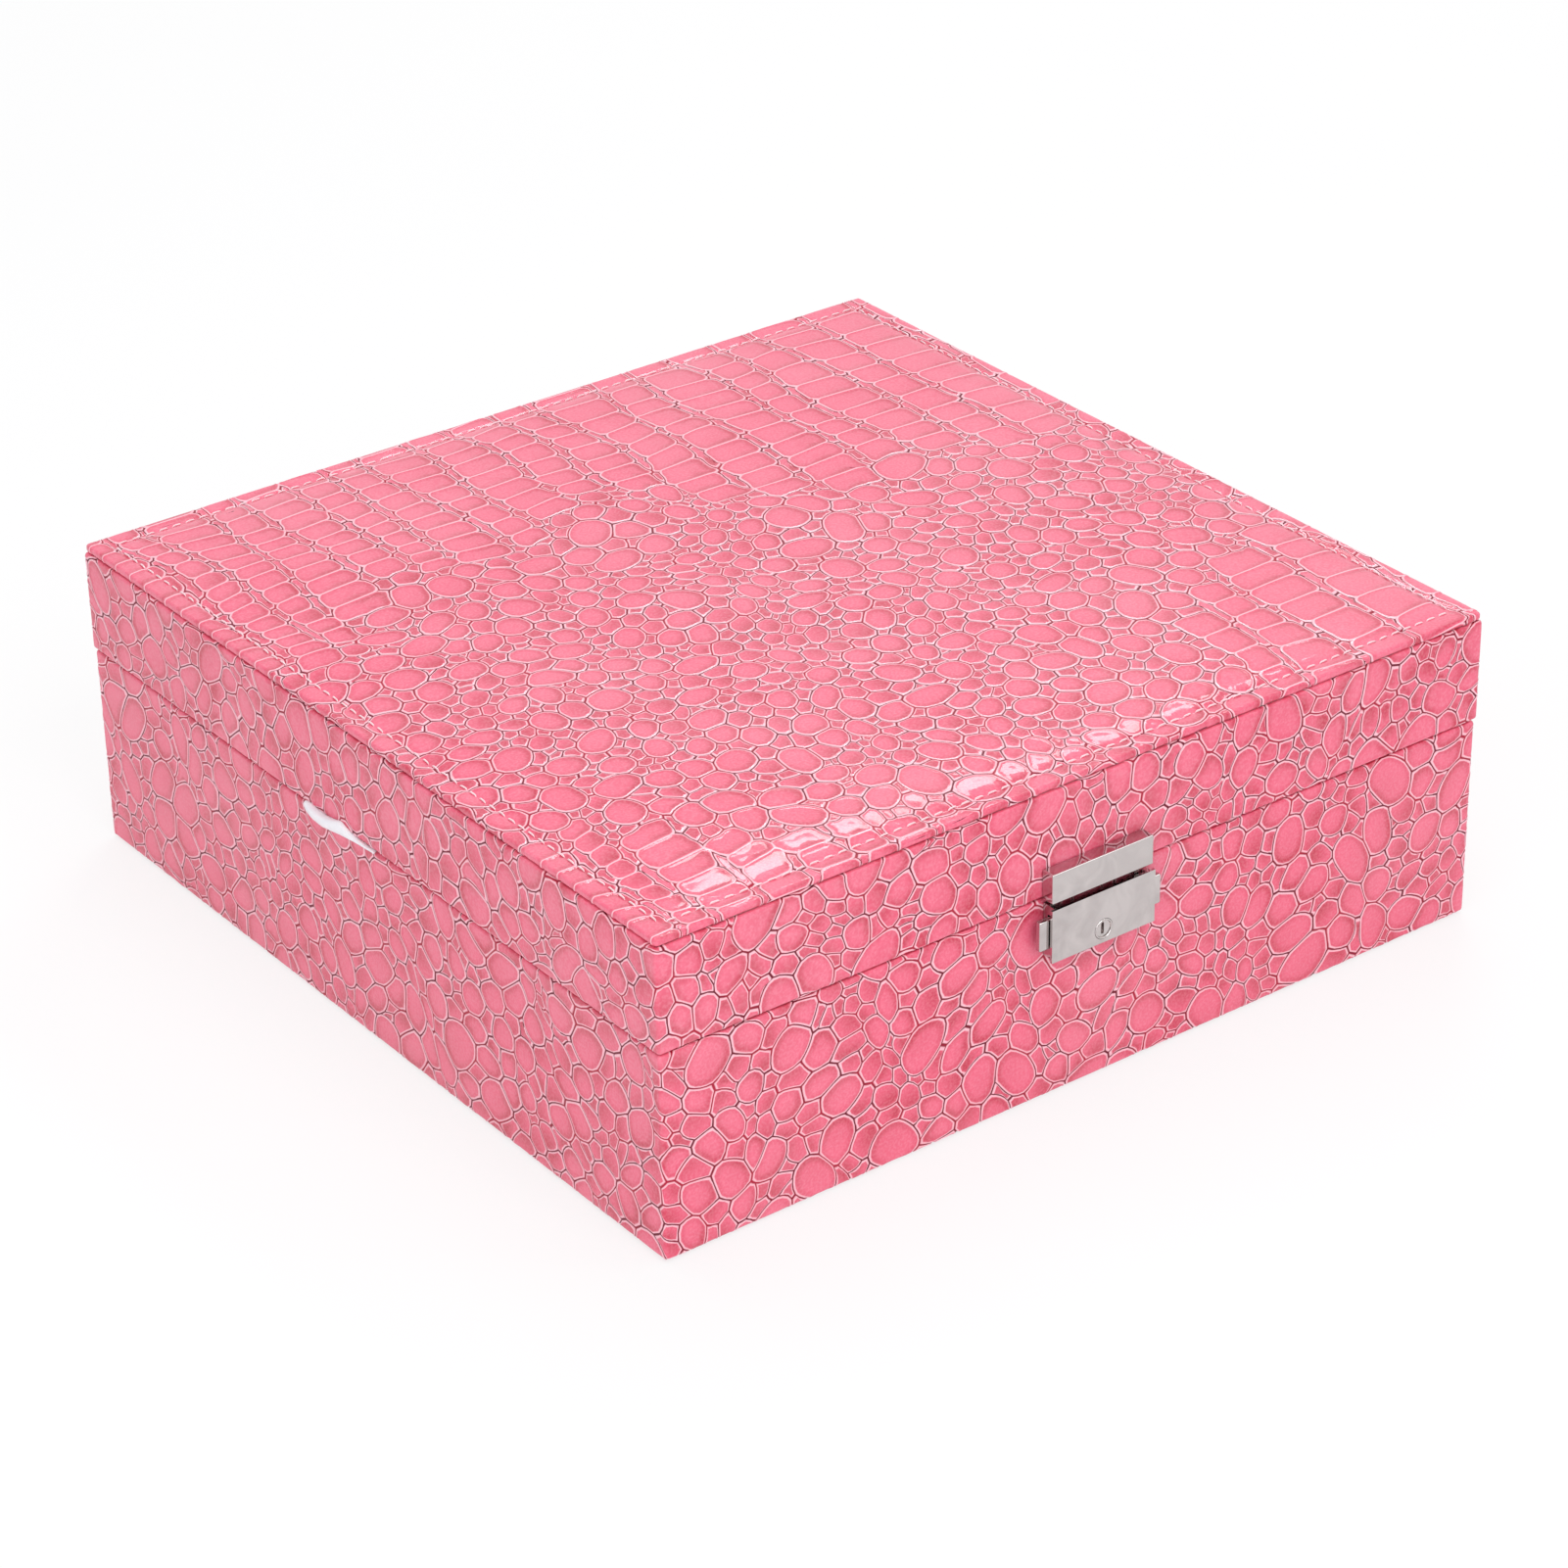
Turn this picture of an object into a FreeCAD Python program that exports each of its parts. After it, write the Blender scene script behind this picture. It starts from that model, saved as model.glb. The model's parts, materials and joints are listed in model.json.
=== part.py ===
"""Leather jewellery case: a padded, lockable lid on a lined base with a lift-out tray.

Millimetres. The origin is the middle of the underside, +Z is up, the lock is on the -Y side.
"""
import FreeCAD
import Part
import Sketcher

import math
import os
import re

# Driving sizes: name, value in millimetres (or degrees, or a count) and what it measures.
SIZES = [
    ("case_width", 260, "outside of the lid, left to right"),
    ("case_depth", 260, "outside of the lid, front to rear"),
    ("base_height", 57.5, "table to the base's rim"),
    ("seam_gap", 0.5, "open seam between the base's rim and the lid's"),
    ("lid_height", 28.6, "lid's rim to the seat of the top panel"),
    ("lid_overhang", 0.4, "how far the lid stands proud of the base"),
    ("edge_radius", 1.2, "upright edges of the leather"),
    ("leather", 0.8, "thickness of the leather"),
    ("turn_in", 14, "width of leather turned under the base and over the lid"),
    ("wall_board", 5, "thickness of the wall boards"),
    ("floor_board", 3, "thickness of the base's floor"),
    ("top_board", 4, "thickness of the lid's top"),
    ("liner", 1.6, "thickness of the velvet-covered liner cards"),
    ("rim_drop", 1, "how far a liner's edge lies below the rim"),
    ("floor_pad", 2, "thickness of the velvet floor pad"),
    ("ceiling_pad", 2, "thickness of the velvet ceiling pad"),
    ("felt", 0.5, "thickness of the felt underside"),
    ("felt_inset", 3, "felt's edge to the case's side"),
    ("panel_inset", 0.4, "top panel's edge to the lid's side"),
    ("panel_edge", 2.4, "height of the top panel at its edge"),
    ("panel_crown", 2.2, "rise of the padded panel from edge to middle"),
    ("crown_run", 60, "panel's edge to where its crown is flat"),
    ("panel_card", 1.2, "thickness of the top panel's card"),
    ("mirror_width", 180, "mirror, left to right"),
    ("mirror_depth", 120, "mirror, front to rear"),
    ("mirror_glass", 2, "thickness of the mirror"),
    ("mirror_radius", 6, "corners of the mirror"),
    ("tray_height", 18, "height of the tray"),
    ("tray_wall", 3, "thickness of the tray's walls"),
    ("tray_floor", 2, "thickness of the tray's floor"),
    ("tray_clearance", 0.6, "gap round the tray"),
    ("divider", 2.4, "thickness of all dividers"),
    ("divider_drop", 3, "tray dividers' tops below the tray's rim"),
    ("ring_width", 78, "width of the tray's ring section"),
    ("roll_pitch", 13, "spacing of the ring rolls"),
    ("roll_gap", 0.4, "gap between neighbouring ring rolls"),
    ("roll_straight", 6, "height of a ring roll below its round top"),
    ("roll_end_gap", 0.4, "gap at both ends of a ring roll"),
    ("ribbon_width", 25, "width of the pull tabs"),
    ("ribbon", 0.3, "thickness of a pull tab"),
    ("tab_drop", 12, "length of a pull tab down the tray's wall"),
    ("tab_shift", 6, "left pull tab's middle behind the case's middle"),
    ("bight_length", 32, "length of the ribbon bight outside the seam"),
    ("bight_large", 1.9, "radius of the bight at its rear end"),
    ("bight_small", 0.4, "radius of the bight at its front end"),
    ("bight_gap", 0.1, "gap between the bight and the lid's side"),
    ("hinge_spacing", 150, "distance between the two hinges' middles"),
    ("leaf_width", 40, "width of a hinge leaf"),
    ("leaf_height", 14, "hinge axis to a leaf's far edge"),
    ("leaf", 0.9, "thickness of a hinge leaf on the lid"),
    ("knuckle_radius", 2, "outside radius of the hinge knuckles"),
    ("knuckle_gap", 0.3, "gap between the knuckles and what turns past them"),
    ("lid_knuckle", 15.6, "length of the lid leaf's middle knuckle"),
    ("knuckle_play", 0.2, "end play of the middle knuckle"),
    ("pin_radius", 0.9, "radius of the hinge pin"),
    ("pin_head", 1.5, "radius of the hinge pin's heads"),
    ("pin_head_height", 0.8, "height of the hinge pin's heads"),
    ("running", 0.05, "radial clearance of turning fits and screw holes"),
    ("stop_angle", 100, "opening angle where the lid's heel meets the base leaf"),
    ("stop_reach", 4.6, "hinge axis to the heel's tip"),
    ("stop_heel", 1.2, "thickness of the heel"),
    ("leaf_screw_spread", 13, "hinge middle to a screw"),
    ("leaf_screw_drop", 8.5, "hinge axis to a screw"),
    ("leaf_screw_head", 2, "radius of a hinge screw's head"),
    ("leaf_screw_shank", 1.1, "radius of a hinge screw's shank"),
    ("leaf_screw_length", 5.6, "length of a hinge screw under its head"),
    ("lock_screw_head", 1.1, "radius of a lock screw's head"),
    ("lock_screw_shank", 0.7, "radius of a lock screw's shank"),
    ("lock_screw_length", 5, "length of a lock screw under its head"),
    ("screw_head_height", 0.6, "height of all screw heads"),
    ("lock_width", 32.8, "width of the lock's front plate"),
    ("lock_height", 14.7, "height of the lock's front plate"),
    ("lock_drop", 0.8, "lock's top edge below the base's rim"),
    ("lock_depth", 5, "lock's front plate to the base's leather"),
    ("lock_sheet", 0.8, "thickness of the lock's sheet metal"),
    ("lock_plate", 0.6, "thickness of the lock's back plate"),
    ("lock_inset", 1.2, "lock's side walls behind the front plate's edges"),
    ("lock_screw_x", 9, "lock's middle to a lock screw"),
    ("lock_screw_rise", 2.1, "lock's lower edge to a lock screw"),
    ("hasp_width", 32, "width of the hasp"),
    ("hasp_height", 8.2, "height of the hasp"),
    ("hasp_depth", 4.2, "hasp's front to the lid's leather"),
    ("hasp_lift", 0.2, "hasp's lower edge above the lid's rim"),
    ("hasp_screw_x", 6, "hasp's middle to a hasp screw"),
    ("tongue", 0.7, "thickness of the hasp's tongue plate"),
    ("tongue_fit", 0.3, "gap round the tongue plate in the hasp"),
    ("leg_inner", 12.5, "lock's middle to a leg's inner edge"),
    ("leg_outer", 14.1, "lock's middle to a leg's outer edge"),
    ("leg_rise", 3, "lock's lower edge to the legs' feet"),
    ("leg_back", 0.8, "base's leather to the legs"),
    ("foot_reach", 1.5, "how far a leg's foot reaches inwards"),
    ("foot_height", 1.6, "height of a leg's foot"),
    ("catch_gap", 0.3, "gap between a catch and the legs' path"),
    ("catch_width", 1.7, "width of a button's catch"),
    ("catch_height", 1.8, "height of a button's catch"),
    ("button_height", 8.3, "height of the side buttons"),
    ("button_rise", 3.6, "lock's lower edge to the buttons"),
    ("button_out", 2.9, "how far a button stands out of the front plate's side"),
    ("button_inner", 6, "lock's middle to a button's inner end"),
    ("button_back", 2, "base's leather to the buttons' back"),
    ("button_front", 3.9, "base's leather to the buttons' front"),
    ("button_play", 0.25, "gap round a button in its window"),
    ("spring_radius", 0.85, "outside radius of the button springs"),
    ("spring_wire", 0.3, "wall of the button springs"),
    ("spring_rise", 9.6, "lock's lower edge to the springs' axis"),
    ("post", 1.2, "width of the post between the springs"),
    ("barrel_radius", 2.8, "radius of the key barrel"),
    ("barrel_rise", 3.9, "lock's lower edge to the barrel's axis"),
    ("barrel_proud", 0.2, "barrel's face in front of the lock's plate"),
    ("key_slot", 0.9, "width of the key slot"),
    ("key_slot_height", 4, "height of the key slot"),
    ("key_slot_depth", 2.5, "depth of the key slot"),
    ("cam", 0.8, "thickness of the cam"),
    ("cam_width", 2.6, "width of the cam"),
    ("cam_reach", 6.5, "barrel's axis to the cam's tip"),
    ("cam_back", 0.9, "base's leather to the cam"),
    ("overshoot", 1, "how far a cutting block runs past the face that it opens"),
]

# Places worked out from the driving sizes, as expressions.
DERIVED = {
    "lid_side": "case_width / 2",
    "lid_front": "case_depth / 2",
    "base_side": "lid_side - lid_overhang",
    "base_front": "lid_front - lid_overhang",
    "base_board_side": "base_side - leather",
    "base_board_front": "base_front - leather",
    "base_liner_side": "base_board_side - wall_board",
    "base_liner_front": "base_board_front - wall_board",
    "base_inside": "base_liner_side - liner",
    "base_inside_front": "base_liner_front - liner",
    "lid_board_side": "lid_side - leather",
    "lid_board_front": "lid_front - leather",
    "lid_liner_side": "lid_board_side - wall_board",
    "lid_liner_front": "lid_board_front - wall_board",
    "lid_inside": "lid_liner_side - liner",
    "lid_inside_front": "lid_liner_front - liner",
    "wrap_low": "felt",
    "board_low": "felt + leather",
    "board_high": "base_height - leather",
    "floor_top": "board_low + floor_board",
    "pad_top": "floor_top + floor_pad",
    "lid_low": "base_height + seam_gap",
    "lid_high": "lid_low + lid_height",
    "lid_board_low": "lid_low + leather",
    "lid_board_high": "lid_high - leather",
    "top_board_low": "lid_board_high - top_board",
    "ceiling": "top_board_low - ceiling_pad",
    "mirror_face": "ceiling - mirror_glass",
    "panel_half_width": "lid_side - panel_inset",
    "panel_half_depth": "lid_front - panel_inset",
    "tray_side": "base_inside - tray_clearance",
    "tray_front": "base_inside_front - tray_clearance",
    "tray_inside": "tray_side - tray_wall",
    "tray_inside_front": "tray_front - tray_wall",
    "tray_top": "base_height - rim_drop",
    "tray_low": "tray_top - tray_height",
    "tray_ground": "tray_low + tray_floor",
    "divider_top": "tray_top - divider_drop",
    "main_x": "ring_width - tray_inside",
    "bay_x": "main_x + divider",
    "bay_column": "(bay_x + tray_inside - divider) / 2",
    "bay_row": "(2 * tray_inside_front - 2 * divider) / 3",
    "tab_y": "tab_shift - ribbon_width / 2",
    "hinge_x": "hinge_spacing / 2",
    "hinge_y": "lid_front + knuckle_gap + knuckle_radius",
    "hinge_z": "base_height + seam_gap / 2",
    "leaf_face": "lid_front + leaf",
    "clear_knuckle": "knuckle_radius + knuckle_gap",
    "lock_low": "base_height - lock_drop - lock_height",
    "lock_high": "base_height - lock_drop",
    "lock_wall": "lock_width / 2 - lock_inset",
    "lock_room": "lock_wall - lock_sheet",
    "plate_back": "lock_depth - lock_sheet",
    "hasp_low": "lid_low + hasp_lift",
    "hasp_high": "hasp_low + hasp_height",
    "hasp_room": "hasp_width / 2 - lock_sheet",
    "hasp_middle": "hasp_low + hasp_height / 2",
    "button_low": "lock_low + button_rise",
    "button_high": "button_low + button_height",
    "catch_outer": "leg_inner - foot_reach - catch_gap",
    "catch_inner": "catch_outer - catch_width",
    "foot_low": "lock_low + leg_rise",
    "catch_low": "foot_low + foot_height + catch_gap",
    "barrel_z": "lock_low + barrel_rise",
    "spring_z": "lock_low + spring_rise",
    "spring_y": "-base_front - (button_back + button_front) / 2",
}

# Half the side of a rectangle as it is first drawn, before its sizes are tied.
DRAFT = 40

# Steps in which the padded panel climbs from its edge to its flat middle.
CROWN_STEPS = 5

DOC = FreeCAD.newDocument("JewelleryCase")
SHEET = DOC.addObject("Spreadsheet::Sheet", "Sizes")
NODES = {}

ALONG_X = FreeCAD.Rotation(FreeCAD.Vector(0, 1, 0), 90)
ALONG_Y = FreeCAD.Rotation(FreeCAD.Vector(1, 0, 0), -90)
HALF_UP = ALONG_X.multiply(FreeCAD.Rotation(FreeCAD.Vector(0, 0, 1), 90))


def fill_sheet():
    """Write every driving size into the sheet, with its name as the cell's alias."""
    for row, (name, value, words) in enumerate(SIZES, start=1):
        SHEET.set(f"A{row}", str(value))
        SHEET.setAlias(f"A{row}", name)
        SHEET.set(f"B{row}", words)
    DOC.recompute()


def spelled(text):
    """An expression with each size's name turned into its cell, and each derived place written out."""
    cells = {name for name, _, _ in SIZES}

    def replace(match):
        word = match.group(0)
        if word in DERIVED:
            return "(" + spelled(DERIVED[word]) + ")"
        return "Sizes." + word if word in cells else word

    return re.sub(r"[A-Za-z_]+", replace, text)


def bind(thing, prop, text):
    """Tie a property to the sizes."""
    thing.setExpression(prop, spelled(text))


def node(name, thing):
    """Name a finished sub-part."""
    thing.Label = name
    NODES[name] = thing
    return thing


def block(name, x, y, z):
    """A plain rectangular solid from pairs of low and high places."""
    solid = DOC.addObject("Part::Box", name)
    for side, axis, (low, high) in zip(("Length", "Width", "Height"), "xyz", (x, y, z)):
        bind(solid, side, f"({high}) - ({low})")
        bind(solid, f"Placement.Base.{axis}", low)
    return solid


def rod(name, radius, length, start, turn):
    """A cylinder from its start along the way that turn gives."""
    solid = DOC.addObject("Part::Cylinder", name)
    bind(solid, "Radius", radius)
    bind(solid, "Height", length)
    solid.Placement = FreeCAD.Placement(FreeCAD.Vector(), turn)
    for axis, place in zip("xyz", start):
        bind(solid, f"Placement.Base.{axis}", place)
    return solid


def joined(name, solids):
    """Several solids as one."""
    whole = DOC.addObject("Part::MultiFuse", name)
    whole.Shapes = solids
    whole.Refine = True
    return whole


def cut(name, base, tools):
    """A solid with others taken out of it."""
    result = DOC.addObject("Part::Cut", name)
    result.Base = base
    result.Tool = tools[0] if len(tools) == 1 else joined(name + "_tools", tools)
    return result


def group(name, solids):
    """Like pieces that share a node and stay separate solids."""
    together = DOC.addObject("Part::Compound", name)
    together.Links = solids
    return together


def common(name, base, tool):
    """What two solids share."""
    shared = DOC.addObject("Part::Common", name)
    shared.Base = base
    shared.Tool = tool
    return shared


def centred(sketch, first, half_width, half_depth):
    """Square up four lines, from the lower one round, about the sketch's origin and give them their sizes."""
    for i, way in enumerate(("Horizontal", "Vertical", "Horizontal", "Vertical")):
        sketch.addConstraint(Sketcher.Constraint(way, first + i))
    sketch.addConstraint(Sketcher.Constraint("Symmetric", first, 1, first + 2, 1, -1, 1))
    right = sketch.addConstraint(Sketcher.Constraint("DistanceX", -1, 1, first + 1, 1, DRAFT))
    rear = sketch.addConstraint(Sketcher.Constraint("DistanceY", -1, 1, first + 2, 1, DRAFT))
    bind(sketch, f"Constraints[{right}]", half_width)
    bind(sketch, f"Constraints[{rear}]", half_depth)


def outline(sketch, half_width, half_depth, radius=None):
    """A rectangle about the sketch's origin, with round corners where a radius is given."""
    first = sketch.GeometryCount
    corners = [FreeCAD.Vector(x * DRAFT, y * DRAFT, 0) for x, y in ((-1, -1), (1, -1), (1, 1), (-1, 1))]
    bend = DRAFT / 8 if radius else 0
    for i in range(4):
        start, end = corners[i], corners[(i + 1) % 4]
        along = (end - start).normalize() * bend
        sketch.addGeometry(Part.LineSegment(start + along, end - along))
    if not radius:
        for i in range(4):
            sketch.addConstraint(Sketcher.Constraint("Coincident", first + i, 2, first + (i + 1) % 4, 1))
        centred(sketch, first, half_width, half_depth)
        return
    for i in range(4):
        middle = corners[(i + 1) % 4] * ((DRAFT - bend) / DRAFT)
        start = (i - 1) * math.pi / 2
        circle = Part.Circle(middle, FreeCAD.Vector(0, 0, 1), bend)
        arc = sketch.addGeometry(Part.ArcOfCircle(circle, start, start + math.pi / 2))
        sketch.addConstraint(Sketcher.Constraint("Tangent", first + i, 2, arc, 1))
        sketch.addConstraint(Sketcher.Constraint("Tangent", arc, 2, first + (i + 1) % 4, 1))
        if i:
            sketch.addConstraint(Sketcher.Constraint("Equal", first + 4, arc))
    size = sketch.addConstraint(Sketcher.Constraint("Radius", first + 4, bend))
    bind(sketch, f"Constraints[{size}]", radius)
    centred(sketch, first, half_width, half_depth)


def level(body, name, outlines, z):
    """A flat sketch of outlines at a height."""
    plane = next(p for p in body.Origin.OriginFeatures if p.Role == "XY_Plane")
    sketch = body.newObject("Sketcher::SketchObject", name)
    sketch.AttachmentSupport = (plane, [""])
    sketch.MapMode = "FlatFace"
    bind(sketch, "AttachmentOffset.Base.z", z)
    for shape in outlines:
        outline(sketch, *shape)
    DOC.recompute()
    return sketch


def layer(body, name, outlines, low, high):
    """One flat layer of a body: outlines, the inner ones holes, padded from low to high."""
    pad = body.newObject("PartDesign::Pad", name)
    pad.Profile = level(body, name + "_outline", outlines, low)
    bind(pad, "Length", f"({high}) - ({low})")
    DOC.recompute()


def wall_ring(prefix, kind, outer, inner, z):
    """Four upright boards or cards: front and rear run the full width, left and right fit between."""
    (side, front), (inside, inside_front) = outer, inner
    wide, deep = (f"-({side})", side), (f"-({inside_front})", inside_front)
    return {
        "front": block(f"{prefix}_front_{kind}", wide, (f"-({front})", f"-({inside_front})"), z),
        "rear": block(f"{prefix}_rear_{kind}", wide, (inside_front, front), z),
        "left": block(f"{prefix}_left_{kind}", (f"-({side})", f"-({inside})"), deep, z),
        "right": block(f"{prefix}_right_{kind}", (inside, side), deep, z),
    }


def screw_places(spread, middles, height):
    """Left and right screws about each middle, at one height."""
    return [(f"{middle} + {sign}{spread}", height) for middle in middles for sign in ("-", "")]


def screws(name, places, seat, inwards, sizes):
    """Round-headed screws driven along Y; seat is the plane under their heads."""
    head, shank, length = sizes
    whole = []
    for i, (x, z) in enumerate(places):
        turn = ALONG_Y if inwards == "+" else ALONG_Y.inverted()
        out = "-" if inwards == "+" else "+"
        top = f"{seat} {out} screw_head_height"
        cap = rod(f"{name}_head{i}", head, "screw_head_height", (x, top, z), turn)
        stem = rod(f"{name}_shank{i}", shank, length, (x, seat, z), turn)
        whole.append(joined(f"{name}_{i}", [cap, stem]))
    return node(name, group(name + "_set", whole))


def screw_holes(name, places, seat, inwards, sizes):
    """Holes that the same screws pass through, with the running clearance round the shank."""
    _, shank, length = sizes
    turn = ALONG_Y if inwards == "+" else ALONG_Y.inverted()
    radius, deep = f"{shank} + running", f"{length} + running"
    return [rod(f"{name}_hole{i}", radius, deep, (x, seat, z), turn) for i, (x, z) in enumerate(places)]


HINGE_MIDDLES = {"left": "-hinge_x", "right": "hinge_x"}
LEAF_SCREW = ("leaf_screw_head", "leaf_screw_shank", "leaf_screw_length")
LOCK_SCREW = ("lock_screw_head", "lock_screw_shank", "lock_screw_length")
SCREWS = {
    "hinge_base_screws": (
        screw_places("leaf_screw_spread", HINGE_MIDDLES.values(), "hinge_z - leaf_screw_drop"),
        "leaf_face", "-", LEAF_SCREW,
    ),
    "hinge_lid_screws": (
        screw_places("leaf_screw_spread", HINGE_MIDDLES.values(), "hinge_z + leaf_screw_drop"),
        "leaf_face", "-", LEAF_SCREW,
    ),
    "lock_screws": (
        screw_places("lock_screw_x", ["0"], "lock_low + lock_screw_rise"),
        "-base_front - lock_plate", "+", LOCK_SCREW,
    ),
    "hasp_screws": (
        screw_places("hasp_screw_x", ["0"], "hasp_middle"),
        "-lid_front - tongue", "+", LOCK_SCREW,
    ),
}


def drilled(name, base, fasteners):
    """A piece with the holes of the named screws through it."""
    return node(name, cut(name + "_drilled", base, screw_holes(name, *SCREWS[fasteners])))


def base_shell():
    """Boards, leather, felt and lining of the base."""
    outside, inside = ("base_board_side", "base_board_front"), ("base_liner_side", "base_liner_front")
    walls = wall_ring("base", "board", outside, inside, ("board_low", "board_high"))
    drilled("base_front_board", walls["front"], "lock_screws")
    drilled("base_rear_board", walls["rear"], "hinge_base_screws")
    node("base_left_board", walls["left"])
    node("base_right_board", walls["right"])
    floor_x, floor_y = ("-base_liner_side", "base_liner_side"), ("-base_liner_front", "base_liner_front")
    node("base_floor_board", block("base_floor", floor_x, floor_y, ("board_low", "floor_top")))

    wrap = DOC.addObject("PartDesign::Body", "base_wrap")
    outer = ("base_side", "base_front", "edge_radius")
    hem = ("base_side - turn_in", "base_front - turn_in")
    layer(wrap, "base_turn_under", [outer, hem], "wrap_low", "board_low")
    layer(wrap, "base_sides", [outer, outside], "board_low", "board_high")
    layer(wrap, "base_rim", [outer, inside], "board_high", "base_height")
    holes = screw_holes("wrap_lock", *SCREWS["lock_screws"])
    holes += screw_holes("wrap_hinge", *SCREWS["hinge_base_screws"])
    node("base_leather_wrap", cut("base_wrap_drilled", wrap, holes))

    felt = DOC.addObject("PartDesign::Body", "felt_underside")
    sheet = ("base_side - felt_inset", "base_front - felt_inset", "edge_radius")
    layer(felt, "felt_sheet", [sheet], "0", "felt")
    layer(felt, "felt_middle", [hem], "felt", "board_low")
    node("base_felt", felt)

    room = ("base_inside", "base_inside_front")
    liners = wall_ring("base", "liner", inside, room, ("floor_top", "base_height - rim_drop"))
    for place, card in liners.items():
        node(f"base_{place}_liner", card)
    room_x, room_y = ("-base_inside", "base_inside"), ("-base_inside_front", "base_inside_front")
    node("base_floor_pad", block("base_pad", room_x, room_y, ("floor_top", "pad_top")))


def lower_dividers():
    """The store under the tray: two bays in front, three behind. The tray stands on these dividers."""
    z = ("pad_top", "tray_low")
    half = "divider / 2"
    long_x = ("-base_inside", "base_inside")
    node("lower_long_divider", block("lower_long", long_x, (f"-{half}", half), z))
    front, rear = ("-base_inside_front", f"-{half}"), (half, "base_inside_front")
    bay = "(2 * base_inside - 2 * divider) / 3"
    across = [
        block("lower_front_cross", (f"-{half}", half), front, z),
        block("lower_rear_left_cross", (f"-base_inside + {bay}", f"-base_inside + {bay} + divider"), rear, z),
        block("lower_rear_right_cross", (f"base_inside - {bay} - divider", f"base_inside - {bay}"), rear, z),
    ]
    node("lower_cross_dividers", group("lower_cross", across))


def lid_shell():
    """Boards, leather, lining and mirror of the lid."""
    outside, inside = ("lid_board_side", "lid_board_front"), ("lid_liner_side", "lid_liner_front")
    walls = wall_ring("lid", "board", outside, inside, ("lid_board_low", "lid_board_high"))
    drilled("lid_front_board", walls["front"], "hasp_screws")
    drilled("lid_rear_board", walls["rear"], "hinge_lid_screws")
    node("lid_left_board", walls["left"])
    node("lid_right_board", walls["right"])
    top_x, top_y = ("-lid_liner_side", "lid_liner_side"), ("-lid_liner_front", "lid_liner_front")
    node("lid_top_board", block("lid_top", top_x, top_y, ("top_board_low", "lid_board_high")))

    wrap = DOC.addObject("PartDesign::Body", "lid_wrap")
    outer = ("lid_side", "lid_front", "edge_radius")
    hem = ("lid_side - turn_in", "lid_front - turn_in")
    layer(wrap, "lid_rim", [outer, inside], "lid_low", "lid_board_low")
    layer(wrap, "lid_sides", [outer, outside], "lid_board_low", "lid_board_high")
    layer(wrap, "lid_turn_over", [outer, hem], "lid_board_high", "lid_high")
    holes = screw_holes("wrap_hasp", *SCREWS["hasp_screws"])
    holes += screw_holes("wrap_leaf", *SCREWS["hinge_lid_screws"])
    node("lid_leather_wrap", cut("lid_wrap_drilled", wrap, holes))

    room = ("lid_inside", "lid_inside_front")
    liners = wall_ring("lid", "liner", inside, room, ("lid_low + rim_drop", "top_board_low"))
    for place, card in liners.items():
        node(f"lid_{place}_liner", card)
    room_x, room_y = ("-lid_inside", "lid_inside"), ("-lid_inside_front", "lid_inside_front")
    node("lid_ceiling_pad", block("ceiling_card", room_x, room_y, ("ceiling", "top_board_low")))
    glass = DOC.addObject("PartDesign::Body", "mirror_glass_body")
    pane = ("mirror_width / 2", "mirror_depth / 2", "mirror_radius")
    layer(glass, "glass", [pane], "mirror_face", "ceiling")
    node("mirror", glass)


def cushion(name, inset, low):
    """The padded panel's crowned shape: a slab whose top climbs from the edge in ever flatter steps."""
    body = DOC.addObject("PartDesign::Body", name)

    def edge(step):
        """The outline and height where the crown has climbed this many steps."""
        share = f"{step} / {CROWN_STEPS}"
        shrink = f"({inset} + crown_run * {share})"
        half = (f"panel_half_width - {shrink}", f"panel_half_depth - {shrink}")
        rise = f"panel_crown * sin(90 deg * {share})"
        return (*half, "edge_radius"), f"lid_high + panel_edge - ({inset}) + {rise}"

    outlines = [edge(step) for step in range(CROWN_STEPS + 1)]
    layer(body, name + "_slab", [outlines[0][0]], low, outlines[0][1])
    rings = [level(body, f"{name}_step{i}", [shape], z) for i, (shape, z) in enumerate(outlines)]
    loft = body.newObject("PartDesign::AdditiveLoft", name + "_crown")
    loft.Profile = rings[0]
    loft.Sections = rings[1:]
    loft.Ruled = True
    DOC.recompute()
    return body


def top_panel():
    """Card, crowned foam and leather cover of the lid's padded top."""
    card = DOC.addObject("PartDesign::Body", "panel_card_body")
    hem = ("lid_side - turn_in", "lid_front - turn_in")
    layer(card, "card_middle", [hem], "lid_board_high", "lid_high")
    edge = ("panel_half_width - leather", "panel_half_depth - leather", "edge_radius")
    layer(card, "card_sheet", [edge], "lid_high", "lid_high + panel_card")
    node("top_panel_card", card)
    node("top_panel_foam", cushion("foam", "leather", "lid_high + panel_card"))
    outside = cushion("cover_outside", "0", "lid_high")
    inside = cushion("cover_inside", "leather", "lid_high")
    node("top_panel_cover", cut("cover_shell", outside, [inside]))


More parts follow.
